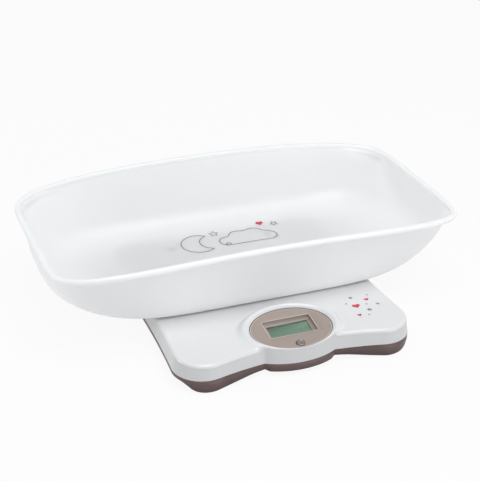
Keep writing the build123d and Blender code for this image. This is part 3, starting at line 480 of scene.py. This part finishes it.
def buildTray(s=traySet):
    # A stack of closed rings from the middle of the underside round the lower turn, up the outer wall,
    # over the roll and down inside to the floor. The roll is a part circle about a line that runs one
    # radius inside and below the rim's edge. The turns are quarter waves of a sine and cosine.
    rows = s["rows"]
    radius = s["rollRadius"]
    edge, out = trayRing(s["length"] / 2, s["depth"] / 2, s["sidePower"][1], s["endPower"][1])
    middle = edge - out * radius
    middle = np.column_stack([middle, rimHeightAt(middle[:, 0]) - radius])
    rollMiddle = middle[:, 2]
    angle = np.radians(np.linspace(*s["rollTurn"], rows["roll"]))[:, None, None]
    outward = np.column_stack([out, np.zeros(len(out))])
    roll = middle + radius * (outward * np.cos(angle) + np.array([0, 0, 1]) * np.sin(angle))

    share = np.linspace(0, 1, rows["wall"])[:, None]
    outerSpread, innerSpread = s["wallSpread"]
    neckStart, neckKnee = s["neck"]
    rise, reach = s["outerTurn"]
    start = s["underside"] + rise
    outer = wallRing(start + (rollMiddle - neckStart * radius - start) * share**outerSpread, 0)
    knee = wallRing(rollMiddle[None, :] - neckKnee * radius, 0)[0]
    neck = bend(outer[-1], knee, roll[0], rows["neck"])
    turn = np.radians(np.linspace(0, 90, rows["outerTurn"]))[:-1, None]
    turnZ = s["underside"] + rise * (1 - np.cos(turn))
    outerTurn = wallRing(turnZ + 0 * rollMiddle, reach * (1 - np.sin(turn)))

    floorZ = s["underside"] + s["wall"]
    rise, reach = s["innerTurn"]
    risePower, reachPower = s["innerTurnPowers"]
    innerTop = rollMiddle - s["blendFall"]
    inner = wallRing(
        innerTop + (floorZ + rise - innerTop) * (1 - (1 - share) ** innerSpread), s["wall"])
    knee = wallRing(rollMiddle[None, :] - s["blendKnee"] * s["blendFall"], s["wall"])[0]
    blend = bend(roll[-1], knee, inner[0], rows["blend"])
    turn = np.radians(np.linspace(90, 0, rows["innerTurn"]))[1:, None]
    turnZ = floorZ + rise * (1 - np.cos(turn)) ** risePower
    innerTurn = wallRing(
        turnZ + 0 * rollMiddle, s["wall"] + reach * (1 - np.sin(turn)) ** reachPower)

    level = np.array(s["levels"])[:, None, None]
    flat = np.array([1.0, 1.0, 0.0])
    floor = innerTurn[-1] * (level * flat + (1 - flat))
    below = outerTurn[0] * (level[::-1] * flat + (1 - flat))
    rings = np.concatenate([below, outerTurn, outer, neck, roll, blend, inner, innerTurn, floor])
    rings[..., 1] += s["middle"]
    parts = [ringSkin(rings, startCap=True, endCap=True)]

    radius, length, lead = s["peg"]
    foot = s["underside"] - length
    profile = [(radius - lead, foot), (radius, foot + lead), (radius, s["underside"] + s["wall"] / 2)]
    for place in pegPlaces():
        parts.append(lathe(profile, place, s["pegCount"], startCap=True, endCap=True))
    piece = makePiece("weighingTray", parts, "tray", trayPlastic, crease=s["crease"])
    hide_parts("tray")
    return piece


weighingTray = buildTray()
print("tray ready")


# Upper shell: wall, rounded edge, deck and the soft collar round the panel, as one skin.

shellSet = {
    "baseMiddle": -27.5,
    "lobeX": 120.0,
    "lobeY": 130.0,
    "lobeRadius": 38.0,
    "sideReach": 33.0,        # the hollow sides pass this far beyond the lobes' centres
    "frontReach": 23.5,
    "parting": 18.0,
    "deck": 40.0,
    "draft": 8.0,
    "edgeRound": 5.0,
    "podEdgeRound": 3.2,
    "podDraft": 0.6,          # the pod's wall leans in by this share of the base's
    "podMargin": 1.004,       # what lies within this measure of the pod's outline is its wall
    "podMiddle": -152.0,
    "podHalfWidth": 67.5,
    "podFront": 43.5,
    "podBack": 55.0,
    "panelMiddle": (-153.38, 42.0),
    "panelTilt": 8.0,
    "opening": (54.2, 39.2),
    "ledge": (51.0, 37.6),
    "collarFoot": 0.9,        # the collar's inner edge stands this far above the panel
    "collarRise": 4.2,        # its crest stands this far above the panel
    "crestInset": 4.6,        # the crest lies this far outside the opening
    "collarFall": 3.4,        # the collar falls at least this far, also where there is no deck
    "flare": 0.06,            # the collar's slope ends this share outside the pod's outline
    "creaseRound": 1.2,
    "levelSoft": 2.0,
    "edgeSoft": 0.6,
    "edgeZone": (1.08, 0.62),  # the edge's rings reach this far: shares of its round and of the gap
    "collarZone": (30.0, 0.9),  # the close rings: a width, and at most this share of the span
    "mouthEdge": 0.4,
    "wall": 2.5,
    "wallFill": 0.9,          # the skin is thickened by this share of the wall
    "bezelDepth": 2.2,
    "seam": 0.35,
    "ringCount": 960,
    "rows": {"wall": 9, "edge": 15, "deck": 9, "collar": 27},
    "search": (16000, 420.0, 40),  # directions, reach and halvings that find the outline
}
tiltSin = sin(radians(shellSet["panelTilt"]))
tiltCos = cos(radians(shellSet["panelTilt"]))


def hollowRadius(reach, lobe, s=shellSet):
    # Radius of a hollow side: an arc that touches two lobes and passes this far beyond their centres.
    return (reach**2 + lobe**2 - s["lobeRadius"] ** 2) / (2 * (s["lobeRadius"] - reach))


def arcDistance(px, py, s=shellSet):
    # Depth inside the base's outline: each lobe counts within its own sector, each hollow side
    # within its own, and the nearest one holds.
    ax, ay = np.abs(px), np.abs(py)
    lobeX, lobeY = s["lobeX"], s["lobeY"]
    sideRadius = hollowRadius(s["sideReach"], lobeY)
    frontRadius = hollowRadius(s["frontReach"], lobeX)
    sideX = lobeX + s["sideReach"] + sideRadius
    frontY = lobeY + s["frontReach"] + frontRadius
    sideDepth = np.hypot(ax - sideX, ay) - sideRadius
    frontDepth = np.hypot(ax, ay - frontY) - frontRadius
    lobeDepth = s["lobeRadius"] - np.hypot(ax - lobeX, ay - lobeY)
    # The lines from the lobe's centre to the two hollow centres bound the sectors.
    besideSide = (ax - lobeX) * -lobeY - (ay - lobeY) * (sideX - lobeX) > 0
    besideFront = (ay - lobeY) * -lobeX - (ax - lobeX) * (frontY - lobeY) > 0
    sides = np.minimum(
        np.where(besideSide, sideDepth, np.inf), np.where(besideFront, frontDepth, np.inf))
    return np.where(~besideSide & ~besideFront, lobeDepth, sides)


def podDepth(py, s=shellSet):
    return np.where(py > s["podMiddle"], s["podBack"], s["podFront"])


def podMeasure(px, py, s=shellSet):
    # 1 on the pod's outline, less inside. The outline is two half ellipses of one width.
    return np.hypot(px / s["podHalfWidth"], (py - s["podMiddle"]) / podDepth(py))


def podDistance(px, py, s=shellSet):
    # Depth inside the pod's outline, near its edge: the measure's distance from 1 over its slope.
    measure = podMeasure(px, py)
    steepness = np.hypot(px / s["podHalfWidth"] ** 2, (py - s["podMiddle"]) / podDepth(py) ** 2)
    slope = steepness / np.maximum(measure, 1e-6)
    return (1 - measure) / np.maximum(slope, 1e-6)


def panelHeight(py, s=shellSet):
    return s["panelMiddle"][1] + (py - s["panelMiddle"][0]) * tan(radians(s["panelTilt"]))


def openingReach(phi, half):
    # Radius of an ellipse on the tilted panel, seen from above, in the direction phi.
    return 1 / np.hypot(np.cos(phi) / half[0], np.sin(phi) / (half[1] * tiltCos))


def edgeDrop(depth, radius):
    # How far a rounded edge lies below its top, at a depth inside the outline: a quarter circle.
    d = np.clip(depth, 0, radius)
    return radius - np.sqrt(np.maximum(radius**2 - (radius - d) ** 2, 0))


def softLower(a, b, width):
    # The lower of two values, with a smooth change-over of the given width.
    h = np.clip(0.5 + 0.5 * (b - a) / width, 0, 1)
    return b + (a - b) * h - width * h * (1 - h)


def draftInset(s=shellSet):
    # How far the base's wall leans in from the parting line to the rounded edge.
    return tan(radians(s["draft"])) * (s["deck"] - s["edgeRound"] - s["parting"])


def shellTop(px, py, s=shellSet):
    # Height of the upper shell: the deck, plus the collar that falls from its crest round the
    # opening to the deck in a soft S, less the rounded edges of the deck and of the pod.
    inset = draftInset()
    wide, deep = s["opening"][0], s["opening"][1] * tiltCos
    opening = np.hypot(px / wide, (py - s["panelMiddle"][0]) / deep)
    outward = np.maximum(opening - 1, 0) * (wide + deep) / 2
    left = np.maximum(1 + s["flare"] - podMeasure(px, py), 0) * (s["podHalfWidth"] + s["podFront"]) / 2
    inside = np.clip(outward / s["crestInset"], 0, 1)
    beyond = outward - s["crestInset"]
    q = np.clip(beyond / np.maximum(beyond + left, 1e-6), 0, 1)
    crest = panelHeight(py) + s["collarRise"] / tiltCos
    lip = (s["collarRise"] - s["collarFoot"]) / tiltCos * (1 - np.sin(pi / 2 * inside))
    level = softLower(s["deck"], crest - s["collarFall"], s["levelSoft"])
    top = level + (crest - level) * 0.5 * (1 + np.cos(pi * q)) - lip
    podInside = podDistance(px, py)
    baseDrop = edgeDrop(arcDistance(px, py - s["baseMiddle"]) - inset, s["edgeRound"])
    podDrop = edgeDrop(podInside - inset * s["podDraft"], s["podEdgeRound"])
    drop = np.where(podInside > 0, softLower(baseDrop, podDrop, s["edgeSoft"]), baseDrop)
    return top - np.maximum(drop, 0)


def shellOutline(s=shellSet):
    # The outline at the parting line: in each direction from the panel's middle, the further one of
    # the base's and the pod's outlines, found by halving, then spaced evenly along its length.
    directions, furthest, halvings = s["search"]
    phi = np.linspace(0, 2 * pi, directions, endpoint=False)
    centreY = s["panelMiddle"][0]

    def reach(inside):
        low, high = np.zeros_like(phi), np.full_like(phi, furthest)
        for _ in range(halvings):
            middle = (low + high) / 2
            within = inside(middle * np.cos(phi), centreY + middle * np.sin(phi))
            low, high = np.where(within, middle, low), np.where(within, high, middle)
        return low

    base = reach(lambda x, y: arcDistance(x, y - s["baseMiddle"]) > 0)
    pod = reach(lambda x, y: podMeasure(x, y) < 1)
    radius = -softLower(-base, -pod, s["creaseRound"])
    x, y = radius * np.cos(phi), centreY + radius * np.sin(phi)
    step = np.hypot(np.roll(x, -1) - x, np.roll(y, -1) - y)
    length = np.concatenate([[0], np.cumsum(step)])
    even = np.linspace(0, length[-1], s["ringCount"], endpoint=False)
    x = np.interp(even, length, np.append(x, x[0]))
    y = np.interp(even, length, np.append(y, y[0]))
    return np.column_stack([x, y])


def ringNormals(points):
    # Unit vectors at right angles to a closed ring, pointing out of it.
    along = np.roll(points, -1, axis=0) - np.roll(points, 1, axis=0)
    out = np.column_stack([along[:, 1], -along[:, 0]])
    return out / np.linalg.norm(out, axis=1, keepdims=True)


def onTop(ring):
    return np.column_stack([ring, shellTop(ring[:, 0], ring[:, 1])])


def buildTopShell(s=shellSet):
    # A stack of rings: up the leaning wall from the parting line, in over the rounded edge by the
    # outline's normals, then on rays to the opening, where a short mouth leads to the bezel's ledge.
    rows = s["rows"]
    outline = shellOutline()
    out = ringNormals(outline)
    isPod = podMeasure(outline[:, 0], outline[:, 1]) < s["podMargin"]
    edgeInset = draftInset() * np.where(isPod, s["podDraft"], 1.0)
    edge = outline - out * edgeInset[:, None]
    edgeZ = shellTop(edge[:, 0], edge[:, 1])

    seam, parting = s["seam"], s["parting"]
    rings = [np.column_stack([outline - out * seam, np.full(len(outline), parting)])]
    for share in np.linspace(0, 1, rows["wall"])[:-1]:
        z = parting + seam + (edgeZ - parting - seam) * share
        rings.append(np.column_stack([outline - out * (edgeInset * share)[:, None], z]))

    centre = np.array([0.0, s["panelMiddle"][0]])
    toEdge = edge - centre
    gap = np.linalg.norm(toEdge, axis=1) - openingReach(
        np.arctan2(toEdge[:, 1], toEdge[:, 0]), s["opening"])
    roundShare, gapShare = s["edgeZone"]
    edgeZone = np.minimum(s["edgeRound"] * roundShare, gapShare * gap)
    for share in 1 - np.cos(np.linspace(0, pi / 2, rows["edge"])):
        rings.append(onTop(edge - out * (edgeZone * share)[:, None]))

    toStart = rings[-1][:, :2] - centre
    phi = np.arctan2(toStart[:, 1], toStart[:, 0])
    ray = np.column_stack([np.cos(phi), np.sin(phi)])
    inner = openingReach(phi, s["opening"])
    span = np.linalg.norm(toStart, axis=1) - inner
    closeWidth, closeShare = s["collarZone"]
    collarZone = np.minimum(closeWidth, closeShare * span)
    far = np.linspace(0, 1, rows["deck"])[1:-1]
    near = np.linspace(0, 1, rows["collar"])
    distances = [collarZone + (span - collarZone) * (1 - share) for share in far]
    distances += [collarZone * (1 - share) for share in near]
    for distance in distances:
        rings.append(onTop(centre + ray * (inner + distance)[:, None]))

    mouth = rings[-1]
    panelNormal = np.array([0, -tiltSin, tiltCos])
    for depth in (s["mouthEdge"], s["collarFoot"] + s["bezelDepth"]):
        rings.append(mouth - panelNormal * depth)
    ledge = centre + ray * openingReach(phi, s["ledge"])[:, None]
    rings.append(np.column_stack([ledge, panelHeight(ledge[:, 1]) - s["bezelDepth"]]))
    piece = makePiece("upperShell", [ringSkin(np.array(rings))], "base", shellPlastic)
    wall = piece.modifiers.new("wall", "SOLIDIFY")
    wall.thickness = s["wall"] * metre * s["wallFill"]
    wall.offset = -1
    settle(piece)
    return piece


upperShell = buildTopShell()

socketSet = {
    "radius": 6.3,
    "depth": 9.5,
    "wall": 2.5,
    "floor": 1.6,
    "count": 48,
    "lip": 0.05,              # the sleeve starts this far below the deck
    "tip": 0.01,              # radius of the pinhole that the floor's rings end at
    "deckCrease": 38,
    "crease": 40,
}


def cutSockets(piece, s=socketSet):
    # Round holes in the deck that the tray's pegs stand in.
    deck = shellSet["deck"]
    profile = [(s["radius"], deck - 2 * s["depth"]), (s["radius"], deck + s["depth"])]
    drills = [lathe(profile, place, s["count"], startCap=True, endCap=True) for place in pegPlaces()]
    drill = makePiece("socketDrill", drills, "base", shellPlastic)
    cut = piece.modifiers.new("sockets", "BOOLEAN")
    cut.object = drill
    cut.operation = "DIFFERENCE"
    cut.solver = "EXACT"
    settle(piece)
    bpy.data.objects.remove(drill)
    piece.data.set_sharp_from_angle(angle=radians(s["deckCrease"]))


def buildSockets(s=socketSet):
    # A sleeve with a floor below each hole.
    deck = shellSet["deck"]
    outer, low = s["radius"] + s["wall"], deck - s["depth"]
    profile = [
        (outer, deck - shellSet["wall"] / 2), (outer, low - s["floor"]), (s["tip"], low - s["floor"]),
        (s["tip"], low), (s["radius"], low), (s["radius"], deck - s["lip"]),
    ]
    parts = [lathe(profile, place, s["count"]) for place in pegPlaces()]
    makePiece("pegSockets", parts, "base", shellPlastic, crease=s["crease"])


cutSockets(upperShell)
buildSockets()
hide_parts("top_shell")
print("upper shell ready")


# Pieces whose CAD shape is right: copied, merged and shaded smoothly.

smoothCopy("bottom_shell", "lowerShell", skirtPlastic, crease=55)
smoothCopy("battery_door", "batteryDoor", skirtPlastic)
displayBezel = smoothCopy("display_bezel", "displayBezel", bezelPlastic, crease=28)
smoothCopy("display_lens", "displayLens", lensClear)
smoothCopy("lcd_panel", "displayPanel", displayGlass)
smoothCopy("tare_button", "tareButton", buttonGloss, crease=50)

finishOf = {
    "lcd_holder": holderPlastic,
    "lcd_contact_strips": contactRubber,
    "circuit_board": boardMask,
    "controller_chip": chipBlack,
    "board_capacitors": capacitorCan,
    "wire_connectors": connectorNylon,
    "button_dome": domeSilicone,
    "case_screws": platedSteel,
    "clamp_screws": platedSteel,
    "board_screws": platedSteel,
    "battery_contacts": platedSteel,
    "battery_springs": platedSteel,
    "red_battery_wire": wireRed,
    "black_battery_wire": wireBlack,
}
for number in range(1, 5):
    finishOf[f"battery_{number}"] = batteryJacket
for corner in ("front_left", "front_right", "back_left", "back_right"):
    finishOf[f"{corner}_rubber_foot"] = footRubber
    finishOf[f"{corner}_foot_plunger"] = innerPlastic
    finishOf[f"{corner}_load_cell"] = platedSteel
    finishOf[f"{corner}_cell_clamp"] = innerPlastic
    finishOf[f"{corner}_cell_wire"] = wireGrey
for nodeName, finish in finishOf.items():
    words = nodeName.split("_")
    pieceName = words[0] + "".join(word.capitalize() for word in words[1:])
    smoothCopy(nodeName, pieceName, finish)
print("CAD pieces dressed")


# Prints: fine line art on the tray's floor and small motifs on the right lobe. On the bezel, thin
# strips: painted highlights along its edges, the dark shut line round it, and a painted shade arc over
# the button.

printAndPaintedShadingSet = {
    "line": 1.3,
    "thick": 0.12,
    "lift": 0.06,
    "crease": 30,
    # middle and size, and for a star its turn in degrees
    "moon": (-32.0, 98.0, 25.0),
    "cloud": (38.0, 92.0, 1.0),
    "trayStars": [(-2.0, 120.0, 7.0, 10), (92.0, 122.0, 6.0, 40), (8.0, 84.0, 5.0, 25)],
    "redHeart": (72.0, 128.0, 5.5),
    "lobeHearts": [(102.0, -129.0, 5.4), (122.0, -118.0, 3.4), (96.0, -151.0, 3.0)],
    "lobeStars": [(114.0, -143.0, 4.2, 15), (104.0, -108.0, 3.4, 50), (131.0, -133.0, 3.0, 30)],
    "lobeDots": [(92.0, -120.0, 1.3), (117.0, -129.0, 1.2), (108.0, -154.0, 1.3), (128.0, -108.0, 1.2)],
    # on the panel
    "recess": (0.0, 4.0, 32.6, 16.6, 2.0),  # middle, half sizes and corner
    # pale strips of painted highlight round the bezel's rim and along the recess's edge
    "bezelRimHighlight": (52.7, 37.7),
    "highlightLine": 0.8,
    "bezelGap": (53.75, 38.75),
    "gapLine": 1.3,
    "ovalCount": 120,
    # a painted shade arc along the button's upper edge
    "paintedShadeArc": (0.0, -30.5, 5.9, 15, 195),  # middle, radius, first and last degree
}


def onSurface(tree, x, y):
    # Point and normal of a surface straight below (x, y).
    spot, normal, _, _ = tree.ray_cast(Vector((x * metre, y * metre, 1)), Vector((0, 0, -1)))
    return np.array(spot) / metre, np.array(normal)


def stroke(tree, path, closed, s=printAndPaintedShadingSet, width=None):
    # A flat thin bar of ink along a path of (x, y) points, laid on the surface.
    path = np.vstack([path, path[:1]]) if closed else np.asarray(path)
    spots, normals = zip(*[onSurface(tree, x, y) for x, y in path])
    spots, normals = np.array(spots), np.array(normals)
    along = np.gradient(spots, axis=0)
    if closed:
        along[0] = along[-1] = spots[1] - spots[-2]
    side = np.cross(normals, along)
    side *= (width or s["line"]) / 2 / np.linalg.norm(side, axis=1, keepdims=True)
    low = spots + normals * s["lift"]
    high = low + normals * s["thick"]
    rings = np.stack([low + side, high + side, high - side, low - side], axis=1)
    return ringSkin(rings, startCap=True, endCap=True)


def patch(tree, outline, s=printAndPaintedShadingSet):
    # A thin filled shape of ink with the given outline, laid on the surface.
    spots, normals = zip(*[onSurface(tree, x, y) for x, y in outline])
    low = np.array(spots) + np.array(normals) * s["lift"]
    return ringSkin(np.stack([low, low + np.array(normals) * s["thick"]]), startCap=True, endCap=True)


def starOutline(x, y, radius, turn, notch=0.45):
    # Five points, with the notches at a share of the radius.
    corner = np.arange(10)
    angle = radians(turn) + corner * pi / 5
    reach = np.where(corner % 2 == 0, radius, notch * radius)
    return np.column_stack([x + reach * np.cos(angle), y + reach * np.sin(angle)])


def heartOutline(x, y, radius):
    # x = sin^3 t, y = (13 cos t - 5 cos 2t - 2 cos 3t - cos 4t) / 16, turned against the clock.
    t = -np.linspace(0, 2 * pi, 36, endpoint=False)
    across = np.sin(t) ** 3
    upward = (13 * np.cos(t) - 5 * np.cos(2 * t) - 2 * np.cos(3 * t) - np.cos(4 * t)) / 16
    return np.column_stack([x + radius * across, y + radius * upward])


def ringOutline(x, y, radius, first=0, last=360, count=24):
    angle = np.radians(np.linspace(first, last, count, endpoint=last - first < 360))
    return np.column_stack([x + radius * np.cos(angle), y + radius * np.sin(angle)])


def moonOutline(x, y, radius, tip=50, shift=0.25):
    # Most of a circle between two tips, and a hollow arc back whose middle lies beyond the tips.
    outer = ringOutline(x, y, radius, tip, 360 - tip, 48)
    reach = radius * sin(radians(tip))
    middle = x + radius * cos(radians(tip)) + shift * radius
    inner = ringOutline(middle, y, np.hypot(shift * radius, reach), 252, 108, 28)
    return np.vstack([outer, inner])


def cloudOutline(x, y, size):
    # Four round humps over a level foot, each with its middle, radius, first and last degree.
    humps = [(34, 0, 12, -90, 62), (16, 12, 15, 20, 118), (-8, 12, 14, 58, 165), (-28, 1, 12, 95, 270)]
    arcs = [
        ringOutline(x + size * across, y + size * up, size * radius, first, last, 14)
        for across, up, radius, first, last in humps]
    foot = np.linspace(arcs[-1][-1], arcs[0][0], 12)[1:-1]
    return np.vstack([*arcs, foot])


def panelPath(points, s=shellSet):
    # Points measured on the tilted panel, as seen from above.
    return np.column_stack([points[:, 0], s["panelMiddle"][0] + points[:, 1] * tiltCos])


def boxOutline(x, y, halfX, halfY, corner):
    # A rectangle with round corners, against the clock from the far right one.
    arcs = []
    for signX, signY, first in ((1, 1, 0), (-1, 1, 90), (-1, -1, 180), (1, -1, 270)):
        middle = (x + signX * (halfX - corner), y + signY * (halfY - corner))
        arcs.append(ringOutline(*middle, corner, first, first + 90, 7))
    return np.vstack(arcs)


def surfaceTree(piece):
    mesh = piece.data
    faces = [tuple(face.vertices) for face in mesh.polygons]
    return BVHTree.FromPolygons([vertex.co for vertex in mesh.vertices], faces)


def buildPrintsAndPaintedShading(s=printAndPaintedShadingSet):
    crease = s["crease"]
    tray, shell, bezel = [surfaceTree(piece) for piece in (weighingTray, upperShell, displayBezel)]
    outlines = [moonOutline(*s["moon"]), cloudOutline(*s["cloud"])]
    outlines += [starOutline(*star) for star in s["trayStars"]]
    lines = [stroke(tray, outline, True) for outline in outlines]
    makePiece("trayLineArt", lines, "tray", inkTaupe, crease=crease)
    heart = patch(tray, heartOutline(*s["redHeart"]))
    makePiece("trayHeart", [heart], "tray", inkRed, crease=crease)
    hearts = [patch(shell, heartOutline(*heart)) for heart in s["lobeHearts"]]
    makePiece("lobeHearts", hearts, "base", inkRed, crease=crease)
    grey = [patch(shell, starOutline(*star)) for star in s["lobeStars"]]
    grey += [patch(shell, ringOutline(*dot)) for dot in s["lobeDots"]]
    makePiece("lobeStars", grey, "base", inkTaupe, crease=crease)

    oval = ringOutline(0, 0, 1, count=s["ovalCount"])
    # Painted highlights: pale strips along the recess's edge and round the bezel's rim.
    pale = [
        stroke(bezel, panelPath(edge), True, width=s["highlightLine"])
        for edge in (boxOutline(*s["recess"]), oval * s["bezelRimHighlight"])]
    makePiece("bezelEdgeHighlights", pale, "base", paintedEdgeHighlight, crease=crease)
    gap = stroke(bezel, panelPath(oval * s["bezelGap"]), True, width=s["gapLine"])
    makePiece("bezelGap", [gap], "base", darkLineAndPaintedShade, crease=crease)
    # Painted shade: a dark arc along the button's upper edge.
    shade = stroke(bezel, panelPath(ringOutline(*s["paintedShadeArc"])), False)
    makePiece("darkLineAndPaintedShade", [shade], "base", darkLineAndPaintedShade, crease=crease)


buildPrintsAndPaintedShading()
print("prints ready")


# Camera: found by fitting the object's outline, with no shift.

cameraSet = {
    "focalPixels": 1211.482,
    "frame": (480, 482),      # pixels
    "sensor": 36.0,           # goes with the frame's longer side
    "clip": (0.01, 50.0),     # metres
    "azimuth": -21.791,
    "elevation": 27.176,
    "roll": 0.863,
    "distance": 1667.283,
    "across": -0.41,          # the camera stands this far off the line to the target
    "upward": 71.751,
    "target": (0.0, 18.5, 0.0),
}


def placeCamera(s=cameraSet):
    a, e, roll = radians(s["azimuth"]), radians(s["elevation"]), radians(s["roll"])
    back = Vector((sin(a) * cos(e), -cos(a) * cos(e), sin(e)))
    level = Vector((cos(a), sin(a), 0))
    upright = back.cross(level)
    right = level * cos(roll) + upright * sin(roll)
    up = upright * cos(roll) - level * sin(roll)
    camera = addObject("camera", bpy.data.cameras.new("camera"))
    place = back * s["distance"] + right * s["across"] + up * s["upward"] + Vector(s["target"])
    turn = Matrix((right, up, back)).transposed().to_4x4()
    camera.matrix_world = Matrix.Translation(place * metre) @ turn
    camera.data.sensor_width = s["sensor"]
    camera.data.lens = s["focalPixels"] * s["sensor"] / max(s["frame"])
    camera.data.clip_start, camera.data.clip_end = s["clip"]
    bpy.context.scene.camera = camera


placeCamera()


# Studio: pale floor, soft sky and three large lamps.

studioSet = {
    "floorSize": 12.0,        # metres, as all lengths here
    "floorShade": 0.76,
    "floorRoughness": 0.9,
    "floorGlow": 0.92,        # share of plain white in what the camera sees of the floor
    "skyColour": (0.96, 0.98, 1.0, 1),
    "skyStrength": 0.45,
    "lamps": [
        # name, place, aimed at, size, watts
        ("topLamp", (0.1, -0.8, 2.2), (0, 0, 0.05), 1.5, 29.0),
        ("leftLamp", (-2.4, 0.6, 0.6), (0, 0, 0.08), 1.0, 13.0),
        ("frontLamp", (1.3, -2.2, 0.5), (0, 0, 0.10), 1.4, 14.0),
    ],
}


def whiteToCamera(tree, closure, surface, white, share):
    # Shows a share of plain white to the camera, in mirrors and through glass. The rest of it, and all
    # that other light meets, is the real surface.
    seen = addNode(tree, "ShaderNodeLightPath")
    direct = seen.outputs["Is Camera Ray"]
    for rayName in ("Is Glossy Ray", "Is Transmission Ray"):
        larger = addNode(tree, "ShaderNodeMath", operation="MAXIMUM")
        tree.links.new(direct, larger.inputs[0])
        tree.links.new(seen.outputs[rayName], larger.inputs[1])
        direct = larger.outputs[0]
    amount = addNode(tree, "ShaderNodeMath", operation="MULTIPLY")
    amount.inputs[1].default_value = share
    tree.links.new(direct, amount.inputs[0])
    mix = addNode(tree, "ShaderNodeMixShader")
    tree.links.new(amount.outputs[0], mix.inputs[0])
    tree.links.new(surface, mix.inputs[1])
    tree.links.new(white, mix.inputs[2])
    tree.links.new(mix.outputs[0], closure)


def buildStudio(s=studioSet):
    size = s["floorSize"]
    mesh = bpy.data.meshes.new("floor")
    corners = [(-size, -size, 0), (size, -size, 0), (size, size, 0), (-size, size, 0)]
    mesh.from_pydata(corners, [], [(0, 1, 2, 3)])
    addObject("floor", mesh)
    material = bpy.data.materials.new("floorPale")
    material.use_nodes = True
    tree = material.node_tree
    shader = tree.nodes["Principled BSDF"]
    shader.inputs["Base Color"].default_value = (s["floorShade"],) * 3 + (1,)
    shader.inputs["Roughness"].default_value = s["floorRoughness"]
    glow = addNode(tree, "ShaderNodeEmission")
    surface = tree.nodes["Material Output"].inputs["Surface"]
    whiteToCamera(tree, surface, shader.outputs[0], glow.outputs[0], s["floorGlow"])
    mesh.materials.append(material)

    world = bpy.data.worlds.new("sky")
    world.use_nodes = True
    bpy.context.scene.world = world
    tree = world.node_tree
    sky = tree.nodes["Background"]
    sky.inputs["Color"].default_value = s["skyColour"]
    sky.inputs["Strength"].default_value = s["skyStrength"]
    white = addNode(tree, "ShaderNodeBackground")
    white.inputs["Color"].default_value = (1, 1, 1, 1)
    surface = tree.nodes["World Output"].inputs["Surface"]
    whiteToCamera(tree, surface, sky.outputs[0], white.outputs[0], 1.0)

    for name, place, target, width, power in s["lamps"]:
        data = bpy.data.lights.new(name, "AREA")
        data.shape = "DISK"
        data.size = width
        data.energy = power
        lamp = addObject(name, data)
        lamp.location = place
        lamp.rotation_euler = (Vector(place) - Vector(target)).to_track_quat("Z", "Y").to_euler()


buildStudio()
bpy.context.scene.view_settings.view_transform = "Standard"
print("studio ready")
